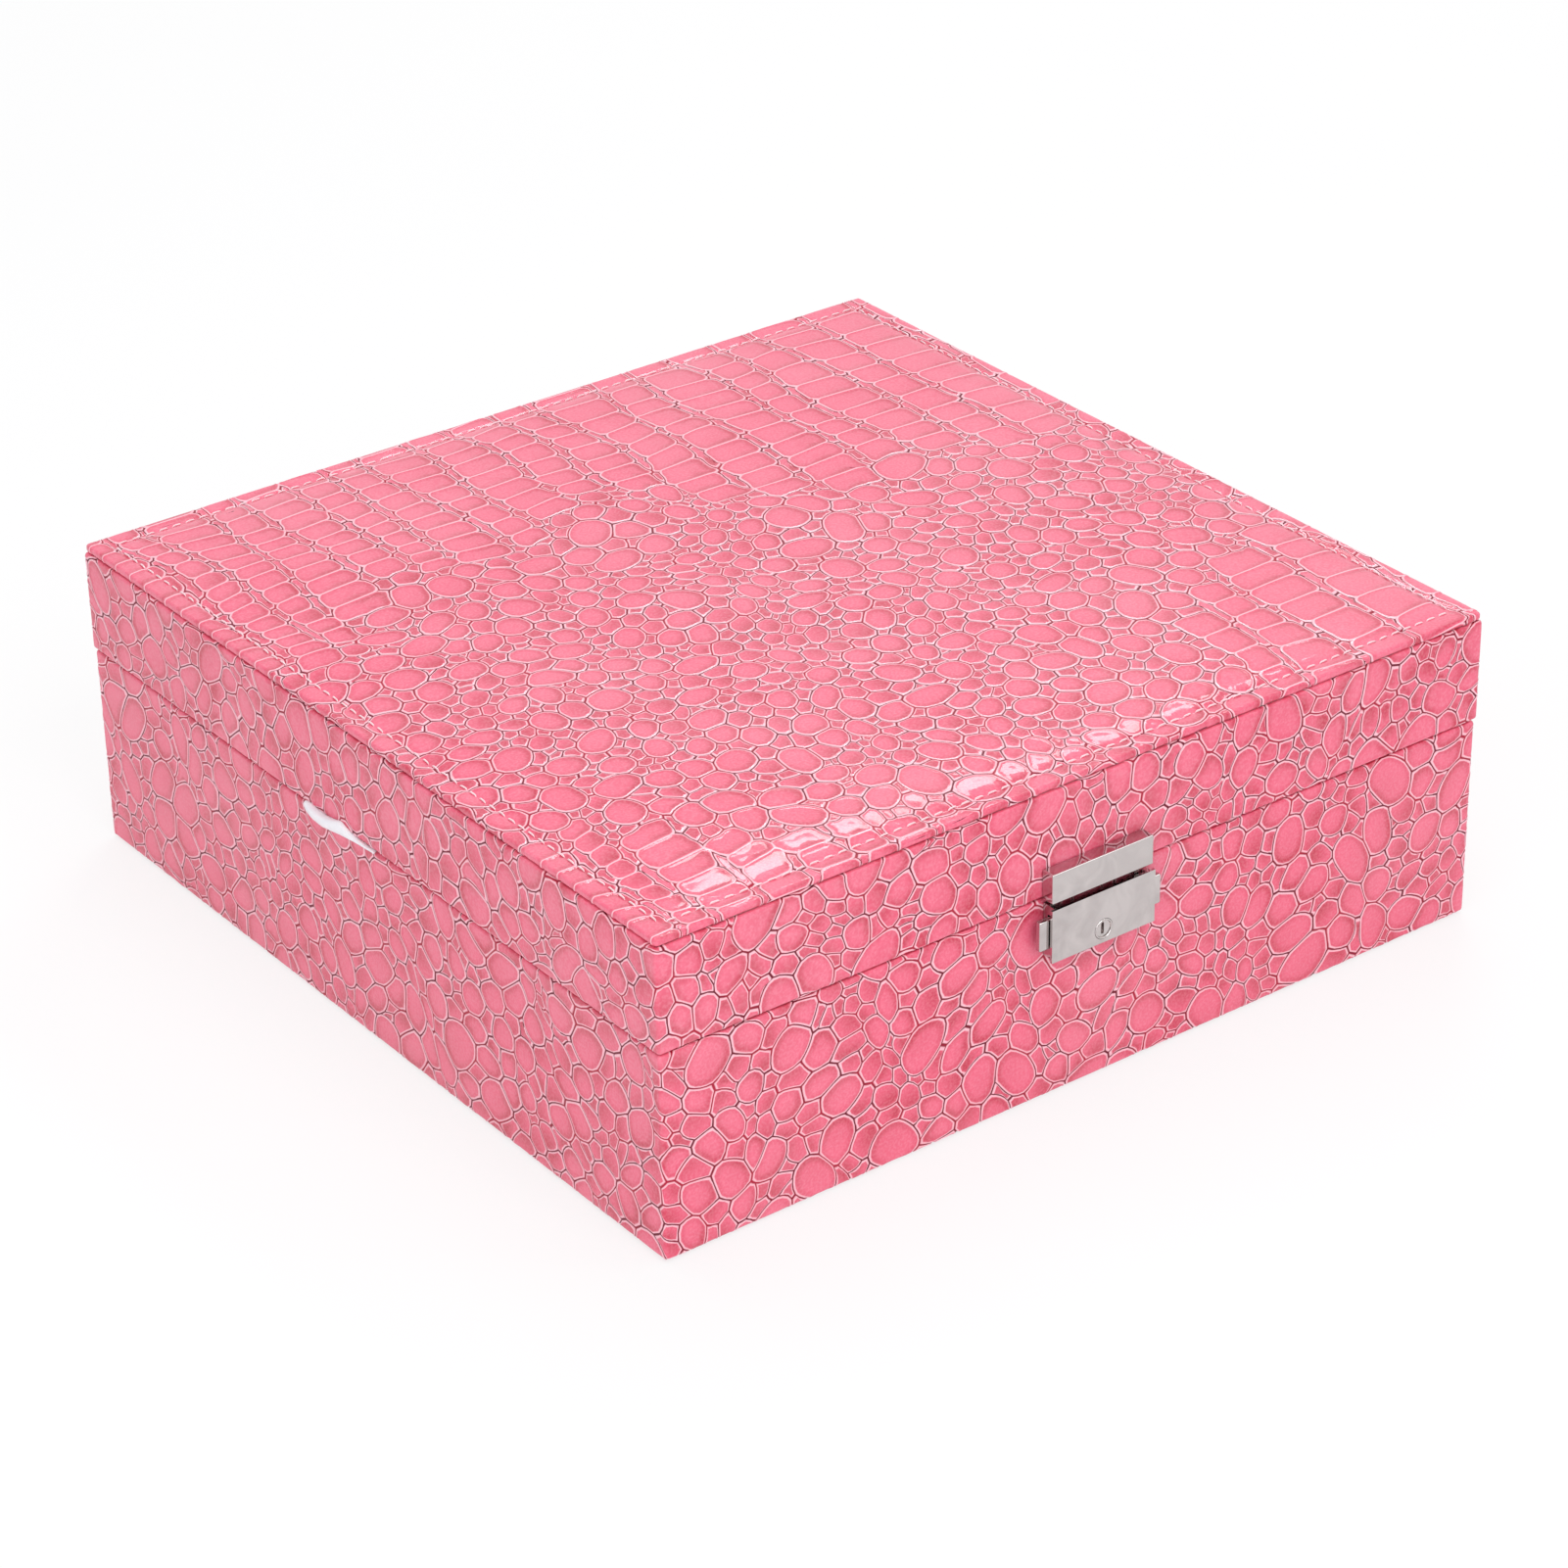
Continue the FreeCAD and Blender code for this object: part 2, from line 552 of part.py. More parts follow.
def tray():
    """The lift-out tray: floor, walls, dividers and ring rolls."""
    outside, inside = ("tray_side", "tray_front"), ("tray_inside", "tray_inside_front")
    walls = wall_ring("tray", "wall", outside, inside, ("tray_low", "tray_top"))
    for place, board in walls.items():
        node(f"tray_{place}_wall", board)
    room_x, room_y = ("-tray_inside", "tray_inside"), ("-tray_inside_front", "tray_inside_front")
    node("tray_floor", block("tray_floor_board", room_x, room_y, ("tray_low", "tray_ground")))

    z = ("tray_ground", "divider_top")
    node("tray_main_divider", block("tray_main", ("main_x", "bay_x"), room_y, z))
    half = "divider / 2"
    across = [block("ring_end", ("-tray_inside", "main_x"), (f"-{half}", half), z)]
    for i in (1, 2):
        low = f"-tray_inside_front + {i} * bay_row + {i - 1} * divider"
        across.append(block(f"bay_cross{i}", ("bay_x", "tray_inside"), (low, f"{low} + divider"), z))
    for i in range(3):
        low = f"-tray_inside_front + {i} * (bay_row + divider)"
        column = ("bay_column", "bay_column + divider")
        across.append(block(f"bay_short{i}", column, (low, f"{low} + bay_row"), z))
    node("tray_cross_dividers", group("tray_cross", across))

    x = ("-tray_inside + roll_end_gap", "main_x - roll_end_gap")
    room = SHEET.case_depth / 2 - SHEET.lid_overhang - SHEET.leather - SHEET.wall_board
    room = room - SHEET.liner - SHEET.tray_clearance - SHEET.tray_wall - SHEET.divider / 2
    rolls = []
    for i in range(int(room // SHEET.roll_pitch)):
        low = f"-tray_inside_front + {i} * roll_pitch + roll_gap"
        high = f"-tray_inside_front + {i + 1} * roll_pitch"
        radius = "(roll_pitch - roll_gap) / 2"
        foot = block(f"roll_foot{i}", x, (low, high), ("tray_ground", "tray_ground + roll_straight"))
        middle = (x[0], f"{low} + {radius}", "tray_ground + roll_straight")
        crown = rod(f"roll_crown{i}", radius, f"({x[1]}) - ({x[0]})", middle, HALF_UP)
        crown.Angle = 180
        rolls.append(joined(f"roll{i}", [foot, crown]))
    node("ring_rolls", group("ring_roll_set", rolls))


def pull_tabs():
    """Ribbons that lift the tray: the left one is pinched in the seam, the right one folded over its wall."""
    y = ("tab_y", "tab_y + ribbon_width")
    seam_low = "base_height + (seam_gap - ribbon) / 2"
    seam = (seam_low, f"{seam_low} + ribbon")
    skin = "-tray_side - ribbon"
    outside = "-lid_side - bight_gap"
    hang = block("left_tab_hang", (skin, "-tray_side"), y, ("tray_top - tab_drop", seam[1]))
    run = block("left_tab_run", (f"{outside} - ribbon", "-tray_side"), y, seam)
    bight = DOC.addObject("Part::Cone", "bight_cone")
    bind(bight, "Radius1", "bight_small")
    bind(bight, "Radius2", "bight_large")
    bind(bight, "Height", "bight_length")
    bight.Placement = FreeCAD.Placement(FreeCAD.Vector(), ALONG_Y)
    for axis, place in zip("xyz", (outside, "tab_shift - bight_length / 2", "hinge_z")):
        bind(bight, f"Placement.Base.{axis}", place)
    long_y = ("tab_shift - bight_length / 2", "tab_shift + bight_length / 2")
    deep_x, tall = (f"{outside} - bight_large", outside), ("hinge_z - bight_large", "hinge_z + bight_large")
    keep = block("bight_room", deep_x, long_y, tall)
    node("left_pull_tab", joined("left_tab", [hang, run, common("bight", bight, keep)]))

    fold = "tray_top + ribbon"
    middle = ("-ribbon_width / 2", "ribbon_width / 2")
    drop = ("tray_top - tab_drop", fold)
    outer = block("right_tab_outer", ("tray_side", "tray_side + ribbon"), middle, drop)
    over = block("right_tab_over", ("tray_inside - ribbon", "tray_side + ribbon"), middle, ("tray_top", fold))
    inner = block("right_tab_inner", ("tray_inside - ribbon", "tray_inside"), middle, drop)
    node("right_pull_tab", joined("right_tab", [outer, over, inner]))


def hinge(side):
    """One stop hinge on the rear: a base leaf, a lid leaf with a heel, and the pin through their knuckles."""
    middle = HINGE_MIDDLES[side]
    wide = (f"{middle} - leaf_width / 2", f"{middle} + leaf_width / 2")
    lid_x = (f"{middle} - lid_knuckle / 2", f"{middle} + lid_knuckle / 2")
    base_xs = [
        (wide[0], f"{lid_x[0]} - knuckle_play"),
        (f"{lid_x[1]} + knuckle_play", wide[1]),
    ]
    line = ("hinge_y", "hinge_z")
    bore_start, bore_length = (f"{wide[0]} - overshoot", *line), "leaf_width + 2 * overshoot"
    bore = rod(side + "_base_bore", "pin_radius + running", bore_length, bore_start, ALONG_X)

    base_y, lid_y = ("base_front", "leaf_face"), ("lid_front", "leaf_face")
    pieces = [block(side + "_base_leaf", wide, base_y, ("hinge_z - leaf_height", "hinge_z - clear_knuckle"))]
    for i, x in enumerate(base_xs):
        length = f"({x[1]}) - ({x[0]})"
        pieces.append(block(f"{side}_base_neck{i}", x, base_y, ("hinge_z - clear_knuckle", "hinge_z")))
        pieces.append(rod(f"{side}_base_knuckle{i}", "knuckle_radius", length, (x[0], *line), ALONG_X))
    holes = screw_holes(side + "_base_leaf", *SCREWS["hinge_base_screws"])
    stock = joined(side + "_base_stock", pieces)
    node(f"{side}_hinge_base_leaf", cut(side + "_base_half", stock, [bore] + holes))

    length = f"({lid_x[1]}) - ({lid_x[0]})"
    heel = block(side + "_heel", lid_x, ("0", "stop_heel"), ("0", "stop_reach"))
    heel.Placement = FreeCAD.Placement(FreeCAD.Vector(), FreeCAD.Rotation(FreeCAD.Vector(1, 0, 0), 1))
    bind(heel, "Placement.Rotation.Angle", "stop_angle * 1 deg")
    turned, offset = "stop_angle * 1 deg", "(leaf_face + running - hinge_y)"
    bind(heel, "Placement.Base.x", lid_x[0])
    bind(heel, "Placement.Base.y", f"hinge_y + {offset} * cos({turned}) + stop_reach * sin({turned})")
    bind(heel, "Placement.Base.z", f"hinge_z + {offset} * sin({turned}) - stop_reach * cos({turned})")
    pieces = [
        block(side + "_lid_leaf", wide, lid_y, ("hinge_z + clear_knuckle", "hinge_z + leaf_height")),
        block(side + "_lid_neck", lid_x, lid_y, ("hinge_z", "hinge_z + clear_knuckle")),
        rod(side + "_lid_knuckle", "knuckle_radius", length, (lid_x[0], *line), ALONG_X),
        heel,
    ]
    bore = rod(side + "_lid_bore", "pin_radius + running", bore_length, bore_start, ALONG_X)
    holes = screw_holes(side + "_lid_leaf", *SCREWS["hinge_lid_screws"])
    stock = joined(side + "_lid_stock", pieces)
    node(f"{side}_hinge_lid_leaf", cut(side + "_lid_half", stock, [bore] + holes))

    pin = [rod(side + "_pin_shank", "pin_radius", "leaf_width", (wide[0], *line), ALONG_X)]
    for i, x in enumerate((f"{wide[0]} - pin_head_height", wide[1])):
        pin.append(rod(f"{side}_pin_head{i}", "pin_head", "pin_head_height", (x, *line), ALONG_X))
    node(f"{side}_hinge_pin", joined(side + "_pin", pin))


def lock():
    """The lock on the base: back plate, folded case, buttons with their springs, key barrel and cam."""
    def out(low, high):
        """A stretch of Y, measured outwards from the base's leather."""
        return (f"-base_front - ({high})", f"-base_front - ({low})")

    x = ("-lock_wall", "lock_wall")
    plate = block("lock_plate_stock", x, out("0", "lock_plate"), ("lock_low", "lock_high"))
    drilled("lock_back_plate", plate, "lock_screws")

    front_x = ("-lock_width / 2", "lock_width / 2")
    shell = joined("lock_shell", [
        block("lock_front", front_x, out("plate_back", "lock_depth"), ("lock_low", "lock_high")),
        block("lock_body", x, out("lock_plate", "plate_back"), ("lock_low", "lock_high")),
    ])
    room = block(
        "lock_cavity", ("-lock_room", "lock_room"), out("lock_plate - overshoot", "plate_back"),
        ("lock_low + lock_sheet", "lock_high - lock_sheet"),
    )
    windows = [
        block(
            "button_window", ("-lock_width", "lock_width"),
            out("button_back - button_play", "button_front + button_play"),
            ("button_low - button_play", "button_high + button_play"),
        ),
        rod(
            "barrel_window", "barrel_radius + running", "lock_depth",
            ("0", "-base_front - lock_depth - overshoot", "barrel_z"), ALONG_Y,
        ),
    ]
    for name, x in (("left", ("-lock_room", "-catch_outer")), ("right", ("catch_outer", "lock_room"))):
        windows.append(block(
            name + "_leg_window", x, out("lock_plate - overshoot", "button_back + catch_gap"),
            ("lock_high - 2 * lock_sheet", "lock_high + overshoot"),
        ))
    post = block(
        "spring_post", ("-post / 2", "post / 2"), out("button_back", "plate_back + lock_sheet / 2"),
        ("spring_z - spring_radius - running", "spring_z + spring_radius"),
    )
    hollow = cut("lock_hollow", shell, [room] + windows)
    node("lock_case", joined("lock_case_whole", [hollow, post]))

    reach = "lock_width / 2 + button_out"
    for side, sign in (("left", "-"), ("right", "")):
        def across(near, far):
            """A stretch of X on this side, from near the middle to far from it."""
            return (f"-({far})", f"-({near})") if sign else (near, far)

        bar = block(
            side + "_button_bar", across("button_inner", reach), out("button_back", "button_front"),
            ("button_low", "button_high"),
        )
        catch = block(
            side + "_catch", across("catch_inner", "catch_outer"), out("leg_back", "button_back"),
            ("catch_low", "catch_low + catch_height"),
        )
        node(f"{side}_button", joined(side + "_button_whole", [bar, catch]))
        start = "-button_inner" if sign else "post / 2"
        line = (start, "spring_y", "spring_z")
        length = "button_inner - post / 2"
        coil = rod(side + "_coil", "spring_radius", length, line, ALONG_X)
        bore = rod(side + "_coil_bore", "spring_radius - spring_wire", length, line, ALONG_X)
        node(f"{side}_button_spring", cut(side + "_spring", coil, [bore]))

    barrel = rod(
        "barrel", "barrel_radius", "lock_depth + barrel_proud - cam_back - cam",
        ("0", "-base_front - lock_depth - barrel_proud", "barrel_z"), ALONG_Y,
    )
    face = "lock_depth + barrel_proud"
    slot = block(
        "key_slot_cut", ("-key_slot / 2", "key_slot / 2"),
        out(f"{face} - key_slot_depth", f"{face} + overshoot"),
        ("barrel_z - key_slot_height / 2", "barrel_z + key_slot_height / 2"),
    )
    node("key_barrel", cut("barrel_slotted", barrel, [slot]))
    arm = block(
        "cam_arm", ("-cam_width / 2", "cam_width / 2"), out("cam_back", "cam_back + cam"),
        ("barrel_z - cam_width / 2", "barrel_z + cam_reach"),
    )
    node("lock_cam", arm)


def hasp():
    """The lid's half of the lock: a folded cover over a tongue plate with two legs into the lock case."""
    def out(low, high):
        """A stretch of Y, measured outwards from the lid's leather."""
        return (f"-lid_front - ({high})", f"-lid_front - ({low})")

    half = "hasp_width / 2"
    shell = block("hasp_stock", (f"-{half}", half), out("0", "hasp_depth"), ("hasp_low", "hasp_high"))
    inner_z = ("hasp_low + lock_sheet", "hasp_high - lock_sheet")
    leg_face = "leg_back + tongue - lid_overhang"
    wide = ("-hasp_room", "hasp_room")
    gate_z = ("hasp_low - overshoot", inner_z[1])
    room = block("hasp_cavity", wide, out("-overshoot", "hasp_depth - lock_sheet"), inner_z)
    gate = block("hasp_gate", wide, out("-overshoot", f"{leg_face} + tongue_fit"), gate_z)
    node("hasp_cover", cut("hasp_folded", shell, [room, gate]))

    fit = "hasp_room - tongue_fit"
    plate_z = ("hasp_low + lock_sheet", "hasp_high - lock_sheet - tongue_fit")
    pieces = [block("tongue_stock", (f"-({fit})", fit), out("0", "tongue"), plate_z)]
    deep = out("leg_back - lid_overhang", leg_face)
    for sign in ("-", ""):
        leg = ("-leg_outer", "-leg_inner") if sign else ("leg_inner", "leg_outer")
        foot = ("-leg_inner", "foot_reach - leg_inner") if sign else ("leg_inner - foot_reach", "leg_inner")
        name = "left" if sign else "right"
        pieces.append(block(name + "_leg", leg, deep, ("foot_low", plate_z[1])))
        pieces.append(block(name + "_foot", foot, deep, ("foot_low", "foot_low + foot_height")))
    drilled("hasp_tongue", joined("tongue_whole", pieces), "hasp_screws")


def check():
    """Stop if any object failed, or any sub-part is empty or not a sound solid."""
    for thing in DOC.Objects:
        if {"Invalid", "Error"} & set(thing.State):
            raise RuntimeError(f"{thing.Name} failed: {thing.State}")
    for name, thing in NODES.items():
        shape = thing.Shape
        if shape.isNull() or not shape.isValid() or not shape.Solids:
            raise RuntimeError(f"{name} is not a sound solid")


def main():
    fill_sheet()
    base_shell()
    lower_dividers()
    lid_shell()
    top_panel()
    tray()
    pull_tabs()
    for side in HINGE_MIDDLES:
        hinge(side)
    lock()
    hasp()
    for name, places in SCREWS.items():
        screws(name, *places)
    DOC.recompute()
    check()
    os.makedirs("parts", exist_ok=True)
    for name, thing in NODES.items():
        thing.Shape.exportStep(f"parts/{name}.step")
    print(f"{len(NODES)} sub-parts")


main()
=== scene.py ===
"""Looks of a leather jewellery case: embossed leather, plated lock, velvet lining, lift-out tray and ribbons.

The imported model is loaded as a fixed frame. Sheets of leather are drawn flat, in millimetres, as scales that
share a sheet between them, and are then laid over the frame. Everything else is in metres.
"""
import json
import math

import bmesh
import bpy
import numpy as np
from bpy.props import FloatProperty, FloatVectorProperty, IntProperty, PointerProperty
from mathutils import Matrix, Vector


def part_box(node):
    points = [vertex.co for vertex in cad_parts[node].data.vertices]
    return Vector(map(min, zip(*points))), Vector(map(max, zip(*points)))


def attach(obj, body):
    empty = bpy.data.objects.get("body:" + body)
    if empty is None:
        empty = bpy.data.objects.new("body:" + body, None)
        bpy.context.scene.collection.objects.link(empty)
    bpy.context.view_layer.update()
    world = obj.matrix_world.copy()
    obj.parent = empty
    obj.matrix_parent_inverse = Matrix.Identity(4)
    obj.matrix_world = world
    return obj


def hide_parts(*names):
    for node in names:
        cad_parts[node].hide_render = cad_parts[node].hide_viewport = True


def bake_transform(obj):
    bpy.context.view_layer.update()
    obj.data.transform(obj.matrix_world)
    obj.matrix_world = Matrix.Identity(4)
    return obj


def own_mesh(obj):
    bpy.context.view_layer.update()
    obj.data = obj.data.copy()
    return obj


bl_info = {
    "name": "Leather jewellery case",
    "version": (1, 0, 0),
    "blender": (4, 5, 0),
    "location": "3D View > Sidebar > Case",
    "description": "Builds the leather, hardware, lining and tray of a jewellery case",
    "category": "Add Mesh",
}

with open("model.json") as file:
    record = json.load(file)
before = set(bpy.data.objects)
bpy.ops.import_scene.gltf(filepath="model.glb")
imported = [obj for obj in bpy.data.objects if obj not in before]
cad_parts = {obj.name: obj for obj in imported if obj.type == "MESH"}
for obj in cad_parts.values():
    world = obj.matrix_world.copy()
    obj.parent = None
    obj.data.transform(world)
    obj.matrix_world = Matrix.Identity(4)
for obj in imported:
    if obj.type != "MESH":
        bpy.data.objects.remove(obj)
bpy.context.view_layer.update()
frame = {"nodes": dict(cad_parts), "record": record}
MM = 0.001
QUARTER = math.pi / 2
# Points closer than this are one.
SPECK = 0.002 * MM
# What a mix node needs to mix colours.
MIXED = {"take": 2, "data_type": "RGBA"}


def linear(code):
    """A colour written as sRGB hex, in linear values."""
    parts = [int(code[i:i + 2], 16) / 255 for i in (1, 3, 5)]
    return [p / 12.92 if p <= 0.04045 else ((p + 0.055) / 1.055) ** 2.4 for p in parts]


def length(name, default, description):
    """A size in metres that a user may change."""
    return FloatProperty(
        name=name, default=default, min=0, unit="LENGTH", precision=5, description=description,
    )


def colour(name, code, description):
    """A colour that a user may change."""
    return FloatVectorProperty(
        name=name, default=linear(code), min=0, max=1, subtype="COLOR", description=description,
    )


class CaseLeather(bpy.types.PropertyGroup):
    """Grain, seams and colours of the embossed leather."""

    seed: IntProperty(name="Grain", default=11, description="Another number gives another hide")
    groove: length("Groove depth", 0.34 * MM, "Depth of the lines between scales")
    dish: length("Dish depth", 0.14 * MM, "How far a scale sinks inside its rim")
    bend: length("Edge radius", 0.9 * MM, "Rounding where the leather turns over a rim")
    stitch_inset: length("Stitch inset", 5.6 * MM, "Panel's edge to the row of stitches")
    stitch_length: length("Stitch length", 2.9 * MM, "Length of one stitch")
    stitch_pitch: length("Stitch pitch", 4.1 * MM, "Spacing of the stitches")
    thread: length("Thread", 0.45 * MM, "Thickness of the thread")
    valley: length("Stitch valley", 0.35 * MM, "How far the stitches draw the panel down")
    groove_colour: colour("Groove", "#720A26", "Bottom of the lines between scales")
    rim_colour: colour("Rim", "#FFC4D0", "Raised rim of each scale")
    dish_colour: colour("Dish", "#E54D6E", "Dip inside the rim")
    plateau_colour: colour("Plateau", "#EF6583", "Middle of each scale")
    # Painted shade: a darker colour put on one side of each scale's dip, standing in for the light across the
    # dished scales.
    painted_shade_colour: colour("Pool", "#C01B3C", "Colour gathered on one side of each dip")
    thread_colour: colour("Thread", "#FFF0F3", "Thread of the stitches")


class CaseHardware(bpy.types.PropertyGroup):
    """Edges and colours of the lock, hinges and screws."""

    sheet_edge: length("Sheet edge", 0.5 * MM, "Rounding of folded and stamped edges")
    small_edge: length("Small edge", 0.22 * MM, "Rounding of pins, screws and the barrel")
    wire: length("Spring wire", 0.24 * MM, "Thickness of the button springs' wire")
    turns: IntProperty(name="Spring turns", default=7, description="Turns of each button spring")
    chrome_colour: colour("Chrome", "#CBC4C3", "Plated lock")
    steel_colour: colour("Steel", "#BDBDBB", "Hinges and screws")
    mark_colour: colour("Marks", "#BDB6B5", "Finger marks and dull patches")


class CaseLining(bpy.types.PropertyGroup):
    """Edges and colours of the lining, tray, ribbons and underside."""

    velvet_edge: length("Velvet edge", 0.6 * MM, "Rounding of velvet-covered edges")
    velvet_colour: colour("Velvet", "#C96A80", "Short-pile velvet")
    pile_colour: colour("Brushed pile", "#E39AA8", "Velvet brushed the other way")
    ribbon_colour: colour("Ribbon", "#FBFBFE", "Satin of the pull tabs")
    felt_colour: colour("Felt", "#2B2526", "Felt underside")


class CaseStage(bpy.types.PropertyGroup):
    """Camera, floor and light."""

    lens: FloatProperty(
        name="Lens", default=108.4, unit="CAMERA", description="Focal length on a 36 mm sensor",
    )
    stand: FloatVectorProperty(
        name="Camera", default=(-0.6489, -0.8821, 0.6413), subtype="TRANSLATION", unit="LENGTH",
        description="Where the camera stands",
    )
    floor_colour: colour("Floor", "#FAFAFA", "Floor")
    fade: FloatProperty(
        name="Fade", default=0.75, min=0, max=1, subtype="FACTOR",
        description="How far the floor fades to white",
    )


# Materials.


def add(tree, kind, inputs=None, take=0, stops=(), **settings):
    """Add a node with its settings and links, and give one of its outputs. Inputs are values, or outputs to
    link, by name or number, and stops are a ramp's places and colours. A range node has the range it takes in
    1 and 2 and the range it gives in 3 and 4. A colour mix has its share in 0 and its colours in 6 and 7."""
    node = tree.nodes.new(kind)
    for key, value in settings.items():
        setattr(node, key, value)
    for key, value in (inputs or {}).items():
        socket = node.inputs[key]
        if isinstance(value, bpy.types.NodeSocket):
            tree.links.new(value, socket)
        else:
            socket.default_value = (*value[:3], 1) if socket.type == "RGBA" else value
    for k, (place, value) in enumerate(stops):
        elements = node.color_ramp.elements
        element = elements[k] if k < len(elements) else elements.new(place)
        element.position = place
        element.color = (*value[:3], 1)
    return node.outputs[take] if node.outputs else None


def sized(where, size, **more):
    """What goes into a pattern whose spots are of a size in metres."""
    return {"Vector": where, "Scale": 1 / size, **more}


def made(name, paint):
    """The material of a name. Paint adds its pattern and gives the surface shader, or what goes into the
    usual one."""
    if name in bpy.data.materials:
        return bpy.data.materials[name]
    material = bpy.data.materials.new(name)
    material.use_nodes = True
    tree = material.node_tree
    tree.nodes.clear()
    shader = paint(tree, add(tree, "ShaderNodeTexCoord", take="Object"))
    if isinstance(shader, dict):
        shader = add(tree, "ShaderNodeBsdfPrincipled", shader)
    add(tree, "ShaderNodeOutputMaterial", {"Surface": shader})
    return material


def embossed_leather(leather):
    """Polyurethane leatherette, hot-embossed and lacquered: a wet gloss, thin pale rims beside dark lines,
    and painted shade on one side of each dip, standing in for the light across the dished scales. The fine
    grain is drawn coarse, or it wouldn't show."""
    reach = 3.0
    # Millimetres in from the line round a scale, and the colour there.
    shades = [
        (0.11, leather.groove_colour), (0.21, leather.rim_colour), (0.42, leather.rim_colour),
        (0.70, leather.dish_colour), (2.20, leather.plateau_colour),
    ]

    def paint(tree, where):
        inset = add(tree, "ShaderNodeAttribute", take="Fac", attribute_name="inset")
        painted_shade = add(tree, "ShaderNodeAttribute", take="Fac", attribute_name="painted_shade")
        share = add(tree, "ShaderNodeMath", {0: inset, 1: reach}, operation="DIVIDE")
        stops = [(at / reach, value) for at, value in shades]
        skin = add(tree, "ShaderNodeValToRGB", {"Fac": share}, stops=stops)
        # Painted shade: the colour darkens towards the shade colour on one side of each scale's dip, as the
        # light would fall on it.
        deep = add(tree, "ShaderNodeMix", {0: painted_shade, 6: skin, 7: leather.painted_shade_colour}, **MIXED)
        clouds = add(tree, "ShaderNodeTexNoise", sized(where, 40 * MM))
        rubbed = add(tree, "ShaderNodeMapRange", {"Value": inset, 1: 0.1, 2: 0.4, 3: 0.0, 4: 0.10})
        worn = add(tree, "ShaderNodeMapRange", {"Value": clouds, 1: 0.4, 2: 0.75, 3: 0.0, 4: rubbed})
        faded = add(tree, "ShaderNodeMix", {0: worn, 6: deep, 7: leather.rim_colour}, **MIXED)
        pores = add(tree, "ShaderNodeTexNoise", sized(where, 0.7 * MM, Detail=3.0))
        grainy = add(tree, "ShaderNodeMapRange", {"Value": inset, 1: 0.1, 2: 0.4, 3: 0.0, 4: 0.18})
        flecks = add(tree, "ShaderNodeMapRange", {"Value": pores, 1: 0.4, 2: 0.7, 3: 0.0, 4: grainy})
        grained = add(tree, "ShaderNodeMix", {0: flecks, 6: faded, 7: leather.rim_colour}, **MIXED)
        hands = add(tree, "ShaderNodeTexNoise", sized(where, 6 * MM))
        return {
            "Base Color": grained, "IOR": 1.5, "Specular IOR Level": 0.2, "Coat Roughness": 0.05,
            "Roughness": add(tree, "ShaderNodeMapRange", {"Value": hands, 1: 0.3, 2: 0.7, 3: 0.34, 4: 0.44}),
            "Coat Weight": add(tree, "ShaderNodeMapRange", {"Value": inset, 1: 0.1, 2: 0.5, 3: 0.0, 4: 0.55}),
            "Normal": add(tree, "ShaderNodeBump", {"Height": pores, "Distance": 0.012 * MM}),
        }

    return made("embossed_leatherette", paint)


def sewing_thread(leather):
    """Twisted polyester thread: matt, with the lay of its strands across it."""
    def paint(tree, where):
        twist = {"Vector": where, "Scale": 0.5 / leather.thread, "Distortion": 1.5}
        lay = add(tree, "ShaderNodeTexWave", twist, take="Fac", bands_direction="DIAGONAL")
        shades = [(0.3, leather.thread_colour), (1.0, leather.rim_colour)]
        return {
            "Base Color": add(tree, "ShaderNodeValToRGB", {"Fac": lay}, stops=shades),
            "Roughness": 0.6, "Sheen Weight": 0.3,
            "Normal": add(tree, "ShaderNodeBump", {"Height": lay, "Distance": 0.06 * MM}),
        }

    return made("polyester_thread", paint)


def polished_chrome(hardware):
    """Nickel-chrome plate on stamped steel: mirror bright, dulled by swirling finger marks and fine
    scratches."""
    def paint(tree, where):
        swirls = sized(where, 9 * MM, Detail=4.0, Distortion=1.4)
        marks = add(tree, "ShaderNodeTexNoise", swirls)
        upright = add(tree, "ShaderNodeVectorMath", {0: where, 1: (1, 1, 0.05)}, operation="MULTIPLY")
        scratches = add(tree, "ShaderNodeTexNoise", sized(upright, 0.35 * MM))
        shades = [(0.35, hardware.chrome_colour), (0.7, hardware.mark_colour)]
        smeared = add(tree, "ShaderNodeMapRange", {"Value": marks, 1: 0.3, 2: 0.7, 3: 0.04, 4: 0.11})
        scored = add(tree, "ShaderNodeMapRange", {"Value": scratches, 1: 0.3, 2: 0.7, 3: 0.0, 4: 0.05})
        return {
            "Base Color": add(tree, "ShaderNodeValToRGB", {"Fac": marks}, stops=shades), "Metallic": 1.0,
            "Roughness": add(tree, "ShaderNodeMath", {0: smeared, 1: scored}, operation="ADD"),
            "Normal": add(tree, "ShaderNodeBump", {"Height": marks, "Distance": 0.01 * MM}),
        }

    return made("chrome_plate", paint)


def zinc_plate(hardware):
    """Bright zinc on rolled strip: a satin metal with a grain along the strip and dull patches."""
    def paint(tree, where):
        along = add(tree, "ShaderNodeVectorMath", {0: where, 1: (0.06, 1, 1)}, operation="MULTIPLY")
        rolled = add(tree, "ShaderNodeTexNoise", sized(along, 0.3 * MM, Detail=3.0))
        patches = add(tree, "ShaderNodeTexNoise", sized(where, 5 * MM, Detail=3.0))
        shades = [(0.3, hardware.steel_colour), (0.8, hardware.mark_colour)]
        return {
            "Base Color": add(tree, "ShaderNodeValToRGB", {"Fac": patches}, stops=shades), "Metallic": 1.0,
            "Roughness": add(tree, "ShaderNodeMapRange", {"Value": patches, 1: 0.3, 2: 0.7, 3: 0.24, 4: 0.4}),
            "Normal": add(tree, "ShaderNodeBump", {"Height": rolled, "Distance": 0.015 * MM}),
        }

    return made("zinc_plated_strip", paint)


